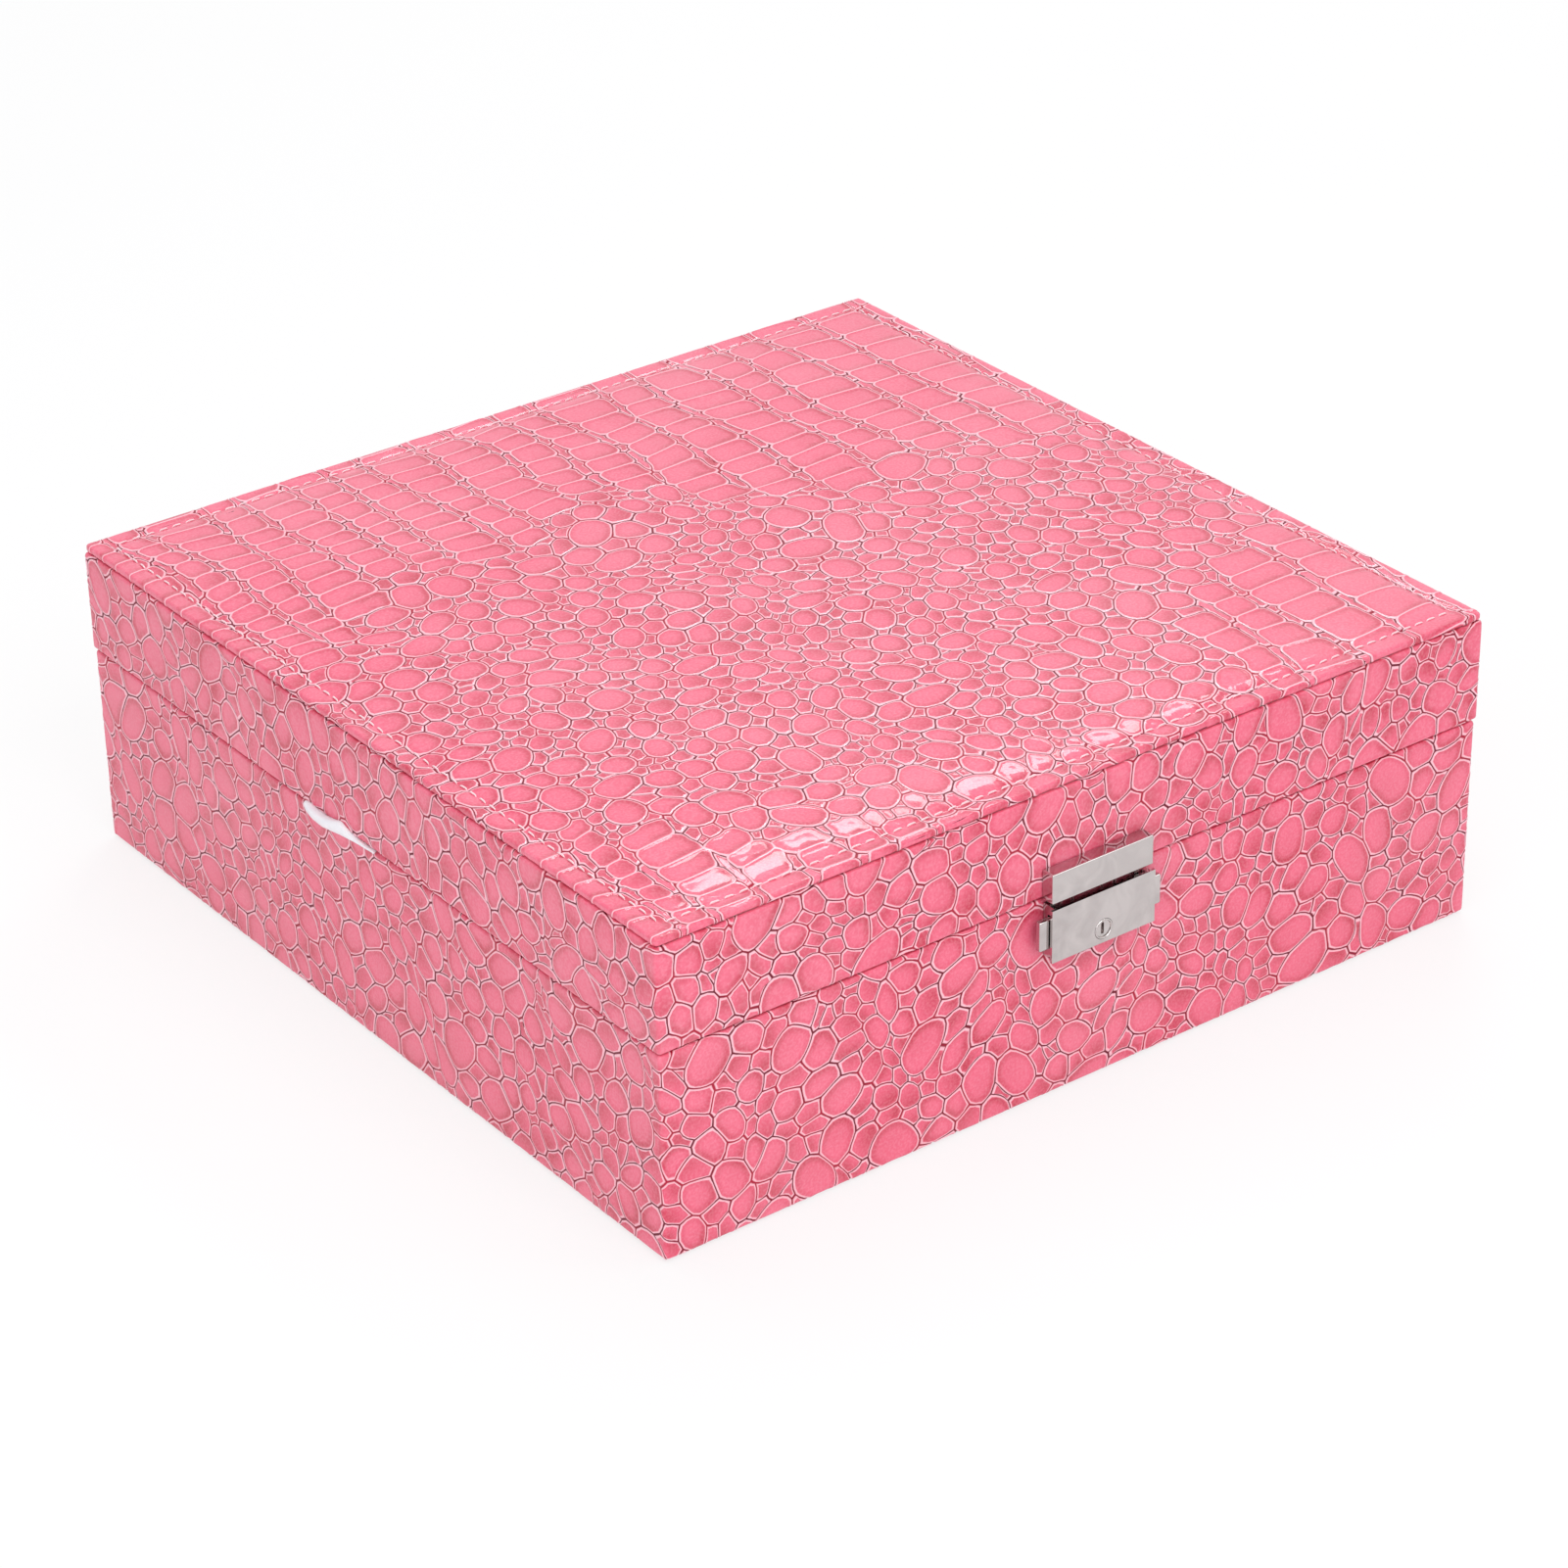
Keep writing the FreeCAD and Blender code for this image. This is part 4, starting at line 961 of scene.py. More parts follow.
def round_outline(half_x, half_y, radius):
    """Total length of a rounded rectangle, where its corners begin, how long they are, and a function that
    lays places along it."""
    runs = [2 * (half_x - radius), 2 * (half_y - radius)] * 2
    arc = QUARTER * radius
    begins = []
    at = 0.0
    for size in runs:
        begins.append(at)
        at += size + arc
    hubs = [(half_x - radius, -half_y + radius), (half_x - radius, half_y - radius),
            (-half_x + radius, half_y - radius), (-half_x + radius, -half_y + radius)]
    starts = [(-half_x + radius, -half_y), (half_x, -half_y + radius), (half_x - radius, half_y),
              (-half_x, half_y - radius)]

    def lay(u, out):
        """Points at places along the outline, moved outwards."""
        result = np.zeros((len(u), 2))
        for k in range(4):
            turn = k * QUARTER
            ahead, away = (math.cos(turn), math.sin(turn)), (math.sin(turn), -math.cos(turn))
            line = (u >= begins[k]) & (u <= begins[k] + runs[k])
            along = np.outer(u[line] - begins[k], ahead)
            result[line] = np.array(starts[k]) + along + np.outer(out[line], away)
            bend = (u > begins[k] + runs[k]) & (u < (begins[k + 1] if k < 3 else math.inf))
            swept = turn - QUARTER + (u[bend] - begins[k] - runs[k]) / radius
            arm = np.maximum(radius + out[bend], 0)
            result[bend] = np.array(hubs[k]) + arm[:, None] * np.column_stack([np.cos(swept), np.sin(swept)])
        return result

    corners = [begin + size for begin, size in zip(begins, runs)]
    return at, corners, arc, lay


def wrapped(name, node, turned, lips, leather, seed, material):
    """Leather round the four sides of the base or the lid. Turned gives the widths turned in below and above,
    and lips how far the leather then goes on into the case."""
    low, high = (np.array(corner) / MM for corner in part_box(node))
    radius, bend, nip = 1.2, leather.bend / MM, 0.3
    total, corners, arc, lay = round_outline(high[0], high[1], radius)
    # The strip's ends meet in the middle of the rear.
    shift = (corners[1] + arc + corners[2]) / 2
    corners = [(corner - shift) % total for corner in corners]
    hem, rim = turned
    parts = [
        (hem - bend, None), (QUARTER, bend), (high[2] - low[2] - 2 * bend, None), (QUARTER, bend),
        (rim - bend, None),
    ]
    if lips[0]:
        parts[0] = (hem - bend - nip, None)
        parts[:0] = [(lips[0] - nip, None), (QUARTER, nip)]
    if lips[1]:
        parts[-1] = (rim - bend - nip, None)
        parts += [(QUARTER, nip), (lips[1] - nip, None)]
    profile = Profile((-hem, low[2] + lips[0]), -QUARTER if lips[0] else 0.0, parts)
    extra = [lip - nip + QUARTER * nip - nip if lip else 0.0 for lip in lips]
    ends = [hem + extra[0], profile.length - rim - extra[1]]
    # The grain: radii of the scales, area for each first try, how close they sit and which way they stretch.
    radii, room, closeness, way = (4.5, 3.8, 3.3, 2.8, 2.3, 1.8), 380, 1.04, (0.5, 0.6)
    margin, step, pull, wave, fade = 7.0, 2.0, 1.5, 38.0, 0.14
    hide = Hide(total + 2 * margin, profile.length + 2 * margin, seed)
    pebbles(hide, radii, total * profile.length / room, closeness, way=way)
    # Each scale's painted shade goes on a side of its own.
    sheet = Sheet(hide, leather, step, drift(hide.random, pull, wave), fade)
    sheet.points[:, :2] -= margin
    sheet.trim((0.0, 0.0), (total, profile.length))
    for place in profile.breaks():
        sheet.split((0, 1), place)
    cuts, beside = 4, 25
    for corner in corners:
        for k in range(cuts + 1):
            sheet.split((1, 0), corner + arc * k / cuts)
        middle = corner + arc / 2
        for end, edge, slope, width in ((0, ends[0] - radius, 1, hem), (1, ends[1] + radius, -1, rim)):
            # Leather is mitred where it turns in at a corner: a wedge is cut out of the flat sheet.
            def turned_in(u, v):
                return abs(u - middle) < beside and (v < edge if end == 0 else v > edge)

            for sign in (-1, 1):
                sheet.split((sign, slope), sign * (middle + sign * arc / 2) + slope * edge, turned_in)
                if lips[end]:
                    sheet.split((1, 0), middle + sign * (arc / 2 + width - radius), turned_in)

    def outside_wedges(middles):
        good = np.ones(len(middles), bool)
        for corner in corners:
            across = np.abs(middles[:, 0] - corner - arc / 2) - arc / 2
            below = np.minimum(ends[0] - radius - middles[:, 1], hem - radius)
            above = np.minimum(middles[:, 1] - ends[1] - radius, rim - radius)
            inward = np.maximum(below, above)
            good &= ~((inward > 0) & (across < inward))
        return good

    sheet.keep(outside_wedges)

    def place(u, v, height):
        side = profile.at(v, height)
        return np.column_stack([lay((u + shift) % total, side[:, 0]), side[:, 1]])

    thing = seated(sheet.laid(name, place, material), node)
    half = node.split("_")[0]


class PanelShape:
    """The padded panel's upper side: a welt at its edge, a valley under the stitches and a crown inside."""

    # Height of the welt, how soon the crown rises behind the stitches and how far in it goes on rising.
    WELT, SOON, FAR = 2.4, 6.5, 70.0
    # Half the valley's width, and how far past its corners it runs out.
    VALLEY, RUN_OUT = 1.0, 1.6

    def __init__(self, leather):
        low, high = (np.array(corner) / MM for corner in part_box("top_panel_cover"))
        self.half = (high[0], high[1])
        self.low, self.crown = low[2], high[2]
        self.edge = self.low + self.WELT
        self.inset = leather.stitch_inset / MM
        self.valley = leather.valley / MM

    def top(self, x, y):
        """Height of the upper side."""
        a, b = self.half[0] - np.abs(x), self.half[1] - np.abs(y)

        def swell(t):
            past = np.maximum(t - self.inset, 0)
            soon = 1 - np.exp(-past / self.SOON)
            return 0.5 * soon + 0.5 * (1 - (1 - np.clip(past / self.FAR, 0, 1)) ** 2)

        def line(t, other):
            inside = np.clip((other - self.inset + self.RUN_OUT) / self.RUN_OUT, 0, 1)
            return np.exp(-((t - self.inset) / self.VALLEY) ** 2) * inside

        crown = (self.crown - self.edge) * swell(a) * swell(b)
        return self.edge + crown - self.valley * np.maximum(line(a, b), line(b, a))


def belly_share(u, v):
    """Above zero where the panel has belly scales: along the rear, at the front right and at the front left.
    Both are shares of the panel from its front left corner."""
    rear_at, rear_fall = 0.70, 0.08
    right_at, right_rise, right_from, right_steep = 0.27, 0.5, 0.72, 1.6
    front_at, front_fall = 0.17, 0.28
    wave = 0.05 * math.sin(9 * u + 1.0) + 0.03 * math.sin(23 * u)
    rear = v - rear_at + rear_fall * u + wave
    right = min(right_at - v + right_rise * (u - 0.9), right_steep * (u - right_from)) + 0.5 * wave
    front = front_at - v - front_fall * u + wave
    return max(rear, right, front)


def panel_grain(width, height, seed):
    """The panel's hide: rows of square belly scales towards the rear and the corners, pebbles in a band
    between. Sizes are in millimetres."""
    hide = Hide(width, height, seed)
    random = hide.random

    def belly(x, y):
        return belly_share(x / width, y / height)

    # Columns start left of the panel and grow wider to the right.
    start, past, narrow, wider = -8.0, 12, 12.2, 5.2
    lines = [start]
    while lines[-1] < width + past:
        lines.append(lines[-1] + narrow + wider * max(0.0, lines[-1] / width))
    swing = random.random((len(lines), 2)) * 2 * math.pi
    sway, slow, quiver, quick = 1.9, 34, 0.5, 11

    def seam(k, y):
        """Where the line between two columns of belly scales runs."""
        return lines[k] + sway * math.sin(y / slow + swing[k][0]) + quiver * math.sin(y / quick + swing[k][1])

    # A belly scale's height at the border, what it gains inside it and to the right, and its spread.
    short, gain, gain_right, least, spread = 6.6, 1.2, 5.0, 0.82, 0.4
    # Where the gain is full, the room between columns at the border, how far it closes, and the slant.
    full, parted, closing, askew = 0.22, 1.5, 0.7, 0.16
    # Radius of a scale's corners, half the height that it fills, and the least room for three discs.
    tip, filled, single = 1.2, 0.48, 0.5
    # Radius and spacing of the slivers' discs, how far inside the belly they begin, and their gaps.
    thin, sliver, inside, gap, wide_gap, often = 0.75, 2.4, 0.015, 0.4, 3.0, 0.85
    # Where columns and slivers begin, the columns' stagger and end, and how many discs a sliver has.
    before, stagger, behind, slim_start, fewest, more = -4, 9, 5, 3, 2, 5
    for k in range(len(lines) - 1):
        y = before + stagger * random.random()
        while y < height + behind:
            x = (seam(k, y) + seam(k + 1, y)) / 2
            near = min(1.0, max(0.0, belly(x, y) / full))
            tall = short + gain * near + gain_right * (x / width) ** 2
            tall *= least + spread * random.random()
            y += tall / 2
            # Towards the pebbles the columns part and leave room for slivers.
            wide = (seam(k + 1, y) - seam(k, y)) / 2 - parted + closing * near
            r = min(filled * tall, wide)
            slant = askew * (random.random() - 0.5)
            if belly(x, y) > 0:
                hide.belly.add(hide.scales)
                square = [(i * (wide - r), 0, r) for i in ((-1, 0, 1) if wide - r > single else (0,))]
                corner_x, corner_y = wide - tip, filled * tall - tip
                square += [(i * corner_x, j * corner_y, tip) for i in (-1, 1) for j in (-1, 1)]
                hide.add([(x + a, y + b + slant * a, c) for a, b, c in square])
            y += tall / 2
        y = slim_start * random.random()
        while y < height:
            reach = fewest + int(more * random.random())
            slim = [(seam(k, y + sliver * j), y + sliver * j, thin) for j in range(reach)]
            if belly(*slim[0][:2]) > inside and belly(*slim[-1][:2]) > inside:
                hide.add(slim)
            y += sliver * reach + (gap if random.random() < often else wide_gap)

    smallest, shrink = 0.74, 1.5

    def local(x, y):
        """Size of the pebbles: smallest in the middle of the band, none among the belly scales."""
        how = belly(x, y)
        return 0.0 if how > 0 else max(smallest, 1.0 + shrink * how)

    radii, room, closeness = (5.0, 4.5, 4.0, 3.4, 2.8, 2.2), 80, 0.97
    pebbles(hide, radii, width * height / room, closeness, local)
    return hide


class CASE_OT_leather(bpy.types.Operator):
    """Lay embossed leather over the base, the lid and the padded panel, and sew the panel's edge"""

    bl_idname = "case.leather"
    bl_label = "Leather"

    def execute(self, context):
        leather = context.scene.case_leather
        material = embossed_leather(leather)
        foot, rim, ledge, lip = 4.2, 5.8, 3.0, 0.8
        base = ("base_leather", "base_leather_wrap", (foot, rim), (0, lip))
        lid = ("lid_leather", "lid_leather_wrap", (rim, ledge), (lip, 0))
        for k, wrap in enumerate((base, lid)):
            wrapped(*wrap, leather, leather.seed + k, material)
        self.panel(leather, material)
        self.stitches(leather)
        return {"FINISHED"}

    def panel(self, leather, material):
        """Leather over the padded panel, turned down round its edge."""
        shape = PanelShape(leather)
        # Radii over and under the edge, the width turned in below, and the corners' radius seen from above.
        upper, lower, under, corner = 0.8, 1.0, 1.5, 0.5
        flat = [h - upper for h in shape.half]
        upright = shape.edge - shape.low - upper - lower
        turned = [(-QUARTER, upper), (upright, None), (-QUARTER, lower), (under, None)]
        edge = Profile((0, 0), 0.0, turned)
        # The last of these is the side of each scale that painted shade goes on.
        margin, step, pull, wave, fade, shaded_side = 6, 2.2, 1.3, 45.0, 0.2, -0.5
        spare = edge.length + margin
        hide = panel_grain(2 * (flat[0] + spare), 2 * (flat[1] + spare), leather.seed + 2)
        sheet = Sheet(hide, leather, step, drift(hide.random, pull, wave), fade, shaded_side)
        sheet.points[:, :2] -= np.array([flat[0] + spare, flat[1] + spare])
        sheet.trim([-f - edge.length for f in flat], [f + edge.length for f in flat])
        # Cuts along the valley, so that its sides are smooth.
        inside = [2.6, 4.4, 5.6, 6.8, 9.0]
        for way, half in (((1, 0), flat[0]), ((0, 1), flat[1])):
            for sign in (-1, 1):
                for place in [0.0] + edge.breaks():
                    sheet.split(way, sign * (half + place))
                for place in inside:
                    sheet.split(way, sign * (half + upper - place))

        def beyond(x, y):
            """Distance past the flat outline, and the way out."""
            over = np.column_stack([np.abs(x) - flat[0] + corner, np.abs(y) - flat[1] + corner])
            both = np.maximum(over, 0)
            far = np.hypot(*both.T)
            past = np.where(far > 0, far - corner, -1.0)
            way = both / np.maximum(far, 1e-9)[:, None] * np.column_stack([np.sign(x), np.sign(y)])
            return past, way

        sheet.keep(lambda m: beyond(m[:, 0], m[:, 1])[0] < edge.length)

        def place(x, y, height):
            past, way = beyond(x, y)
            result = np.column_stack([x, y, shape.top(x, y) + height])
            over = past > 0
            turned = edge.at(np.minimum(past[over], edge.length), -height[over])
            hub = np.column_stack([x, y])[over] - way[over] * past[over][:, None]
            result[over] = np.column_stack([
                hub + way[over] * turned[:, :1], shape.top(hub[:, 0], hub[:, 1]) + turned[:, 1],
            ])
            return result

        thing = sheet.laid("panel_leather", place, material)
        seated(thing, "top_panel_cover")

    def stitches(self, leather):
        """A row of stitches along the panel's edge, each a short thread that dips in at both ends."""
        shape = PanelShape(leather)
        size, pitch, thread = (v / MM for v in (leather.stitch_length, leather.stitch_pitch, leather.thread))
        points, faces = [], []
        around, along = 8, 8
        # How crooked the stitches are, how thin their ends get, and how high they stand and sink, in threads.
        crooked, thinnest, stand, sink = 0.12, 0.25, 0.85, 0.25
        lines = [h - shape.inset for h in shape.half]
        random = np.random.default_rng(leather.seed)
        for side in range(4):
            turn = Matrix.Rotation(side * QUARTER, 2)
            reach, off = (lines[0], lines[1]) if side % 2 == 0 else (lines[1], lines[0])
            count = int(2 * reach / pitch)
            for k in range(count):
                middle = -reach + pitch * (k + 0.5) + (2 * reach - count * pitch) / 2
                skew = crooked * (random.random() - 0.5)
                faces += tube(len(points), along + 1, around)
                for i in range(along + 1):
                    t = i / along
                    swell = (1 - abs(2 * t - 1) ** 6) ** 0.5
                    lift = stand * thread * (1 - abs(2 * t - 1) ** 5) - sink * thread
                    r = 0.5 * thread * max(swell, thinnest)
                    for j in range(around):
                        angle = 2 * math.pi * j / around
                        x = middle + size * (t - 0.5)
                        y = -off + r * math.cos(angle) + skew * (t - 0.5) * 4
                        spot = turn @ Vector((x, y))
                        height = float(shape.top(np.array([spot.x]), np.array([spot.y]))[0])
                        points.append((spot.x * MM, spot.y * MM, (height + lift + r * math.sin(angle)) * MM))
        thing = tidied(built("panel_stitches", points, faces, sewing_thread(leather)), 80)
        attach(thing, "lid")


class CASE_OT_hardware(bpy.types.Operator):
    """Finish the lock, the hasp and the hinges, drive the screws and wind the button springs"""

    bl_idname = "case.hardware"
    bl_label = "Hardware"

    def execute(self, context):
        hardware = context.scene.case_hardware
        chrome, steel = polished_chrome(hardware), zinc_plate(hardware)
        for node in ("lock_case", "hasp_cover", "hasp_tongue", "left_button", "right_button",
                     "lock_back_plate"):
            softened(node, chrome, hardware.sheet_edge, 3)
        softened("lock_cam", chrome, hardware.sheet_edge)
        self.barrel(chrome)
        for side in ("left", "right"):
            for part in ("hinge_base_leaf", "hinge_lid_leaf", "hinge_pin"):
                softened(f"{side}_{part}", steel, hardware.small_edge)
            self.spring(side, hardware, steel)
        for node in ("lock_screws", "hasp_screws", "hinge_base_screws", "hinge_lid_screws"):
            self.screws(node, steel)
        return {"FINISHED"}

    def barrel(self, chrome):
        """The key barrel: a rounded rim, a sunk face and a slot for the key."""
        low, high = (Vector(corner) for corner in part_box("key_barrel"))
        middle, ways = (low + high) / 2, 48
        slot_x, slot_z, slot_depth, back = 0.45 * MM, 1.6 * MM, 2.5 * MM, high.y - low.y
        # Radius from the axis and depth behind the front. The slot has no radius.
        lathe = [(2.8, 0.25), (2.72, 0.08), (2.58, 0.0), (2.44, 0.05), (2.34, 0.2), (2.26, 0.62), (2.1, 0.7)]
        rings = [(lathe[0][0] * MM, back)] + [(r * MM, d * MM) for r, d in lathe]
        rings += [(None, rings[-1][1]), (None, slot_depth)]
        points = []
        for radius, depth in rings:
            for k in range(ways):
                angle = 2 * math.pi * (k + 0.5) / ways
                c, s = math.cos(angle), math.sin(angle)
                reach = radius or min(slot_x / abs(c), slot_z / abs(s))
                points.append((middle.x + reach * c, low.y + depth, middle.z + reach * s))
        faces = tube(0, len(rings), ways)
        seated(tidied(built("key_barrel_turned", points, faces, chrome), 40), "key_barrel")

    def spring(self, side, hardware, steel):
        """A compression spring behind a button, its end turns closed up."""
        node = side + "_button_spring"
        low, high = (Vector(corner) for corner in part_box(node))
        middle, size = (low + high) / 2, high - low
        wire = hardware.wire
        radius = (size.z - wire) / 2
        # Steps along the wire and points round it, and how far the end turns are closed up.
        steps, around, shut = 28 * hardware.turns, 8, 0.075
        points = []
        for i in range(steps + 1):
            t = i / steps
            angle = 2 * math.pi * hardware.turns * t
            lead = t + shut * math.sin(2 * math.pi * t)
            x = low.x + wire / 2 + (size.x - wire) * lead
            out = Vector((0, math.cos(angle), math.sin(angle)))
            hub = Vector((x, middle.y, middle.z)) + radius * out
            for j in range(around):
                turn = 2 * math.pi * j / around
                across = math.cos(turn) * out + math.sin(turn) * Vector((1, 0, 0))
                points.append(hub + wire / 2 * across)
        faces = tube(0, steps + 1, around)
        thing = seated(tidied(built(node + "_coil", points, faces, steel), 70), node)
        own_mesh(thing)

    def screws(self, node, steel):
        """Pan-headed screws with a cross recess and a thread, one for each solid of a node."""
        shape = opened(frame["nodes"][node].data)
        bmesh.ops.remove_doubles(shape, verts=shape.verts, dist=SPECK)
        left = set(shape.verts)
        points, faces = [], []
        for first in shape.verts:
            if first not in left:
                continue
            left.discard(first)
            group, more = [], [first]
            while more:
                vert = more.pop()
                group.append(vert.co)
                near = {e.other_vert(vert) for e in vert.link_edges} & left
                left -= near
                more += near
            self.screw(group, points, faces)
        shape.free()
        seated(tidied(built(node + "_cross_head", points, faces, steel), 40), node)

    def screw(self, solid, points, faces):
        """One screw in the place of a solid whose axis runs along y."""
        low = Vector(min(v[k] for v in solid) for k in range(3))
        high = Vector(max(v[k] for v in solid) for k in range(3))
        middle = (low + high) / 2
        head = (high.x - low.x) / 2
        reaches = [(math.hypot(v.x - middle.x, v.z - middle.z), v.y) for v in solid]
        wide = [y for reach, y in reaches if reach > 0.95 * head]
        shank = max((reach for reach, y in reaches if y not in wide), default=head / 2)
        front = min(wide) < middle.y
        crown = low.y if front else high.y
        tip, inward = (high.y, 1) if front else (low.y, -1)
        height = max(wide) - min(wide)
        # The head from its crown outwards: shares of its radius and of its height.
        lathe = [(0.62, 0.0), (0.86, 0.14), (0.97, 0.42), (1.0, 0.75), (1.0, 1.0)]
        rings = [(head * r, height * d) for r, d in lathe]
        # The thread's pitch, and shares of the shank's radius at its root and at its point.
        pitch, root, point = 0.8 * MM, 0.8, 0.25
        run = abs(tip - crown) - height
        turns = max(3, round(run / pitch))
        for k in range(turns):
            rings += [(shank * root, height + run * k / turns), (shank, height + run * (k + 0.5) / turns)]
        rings.append((shank * point, height + run))
        ways = 12
        fine = 3 * ways

        def put(x, z, depth):
            points.append((middle.x + x, crown + inward * depth, middle.z + z))
            return len(points) - 1

        # The cross recess narrows as it goes down.
        arm, slim, narrow, deep = 0.52 * head, 0.13 * head, 0.8, 0.6 * height
        quarter = [(arm, -slim), (arm, slim), (slim, slim)]
        turned = ((1, 0), (0, 1), (-1, 0), (0, -1))
        cross = [(x * c - z * s, x * s + z * c) for c, s in turned for x, z in quarter]
        edge = [put(x, z, 0.0) for x, z in cross]
        sunk = [put(narrow * x, narrow * z, deep) for x, z in cross]
        faces.append(sunk)
        faces += joined(edge, sunk)
        start = math.atan2(-slim, arm)
        before = None
        for radius, depth in rings:
            ring = []
            for k in range(fine):
                angle = start + 2 * math.pi * k / fine
                ring.append(put(radius * math.cos(angle), radius * math.sin(angle), depth))
            if before is None:
                for k in range(ways):
                    outer = [ring[(3 * k + j) % fine] for j in range(4)]
                    faces.append(outer + [edge[(k + 1) % ways], edge[k]])
            else:
                faces += joined(before, ring)
            before = ring
        faces.append(before)


def cushion(name, low, high, material, edge, lift=None):
    """A closed pad: a flat underside, sides that round over by edge, and a top, flat or following lift."""
    cells, thin = 60, 0.15 * MM

    def spaced(a, b):
        """Places along a side, closer together at its ends."""
        ends = [edge * v for v in (0.0, 0.04, 0.16, 0.37, 0.68, 1.0)]
        inner = np.linspace(a + edge, b - edge, cells + 1)[1:-1]
        return np.concatenate([[a + v for v in ends], inner, [b - v for v in reversed(ends)]])

    def fall(t):
        """How far the pad's edge drops at a distance from its side."""
        inside = np.clip(1 - t / edge, 0, 1)
        return edge * (1 - np.sqrt(1 - inside ** 2))

    x, y = np.meshgrid(spaced(low[0], high[0]), spaced(low[1], high[1]), indexing="ij")
    a = np.minimum(x - low[0], high[0] - x)
    b = np.minimum(y - low[1], high[1] - y)
    top = lift(x, y) if lift else np.full(x.shape, high[2])
    top = top - np.minimum(np.hypot(fall(a), fall(b)), np.maximum(top - low[2] - thin, 0))
    heights = (top.ravel(), np.full(x.size, low[2]))
    points = np.concatenate([np.column_stack([x.ravel(), y.ravel(), z]) for z in heights])
    return tidied(built(name, points, slab(*x.shape), material), 60)


class CASE_OT_lining(bpy.types.Operator):
    """Line the base and the lid with velvet, pad the floor, the ceiling and the panel, and hang the mirror"""

    bl_idname = "case.lining"
    bl_label = "Lining"

    def execute(self, context):
        lining = context.scene.case_lining
        pile = velvet(lining)
        for half in ("base", "lid"):
            for side in ("front", "rear", "left", "right"):
                softened(f"{half}_{side}_liner", pile, lining.velvet_edge, 3)
        for node in ("lower_long_divider", "lower_cross_dividers"):
            softened(node, pile, lining.velvet_edge, 3)
        pad_edge, glass_edge, felt_edge = 1.2 * MM, 0.5 * MM, 0.15 * MM
        low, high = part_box("base_floor_pad")
        pad = seated(cushion("floor_pad_velvet", low, high, pile, pad_edge), "base_floor_pad")
        self.ceiling(pile)
        self.foam(context.scene.case_leather)
        softened("mirror", silvered_glass(), glass_edge, 3)
        felt = softened("base_felt", pressed_felt(lining), felt_edge)
        low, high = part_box("base_felt")
        return {"FINISHED"}

    def ceiling(self, pile):
        """A velvet pad across the inside of the lid, its face towards the tray."""
        low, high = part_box("lid_ceiling_pad")
        edge = 0.9 * MM
        pad = cushion("ceiling_pad_velvet", low, high, pile, edge)
        flip = Matrix.Translation((0, 0, low[2] + high[2])) @ Matrix.Scale(-1, 4, (0, 0, 1))
        pad.data.transform(flip)
        pad.data.flip_normals()
        seated(pad, "lid_ceiling_pad")

    def foam(self, leather):
        """The panel's foam, crowned as the leather over it is."""
        shape = PanelShape(leather)
        low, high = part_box("top_panel_foam")
        skin, least, edge = 0.9, 0.2 * MM, 0.8 * MM

        def lift(x, y):
            return np.maximum((shape.top(x / MM, y / MM) - skin) * MM, low[2] + least)

        pad = cushion("panel_foam", low, high, open_foam(), edge, lift)
        seated(pad, "top_panel_foam")


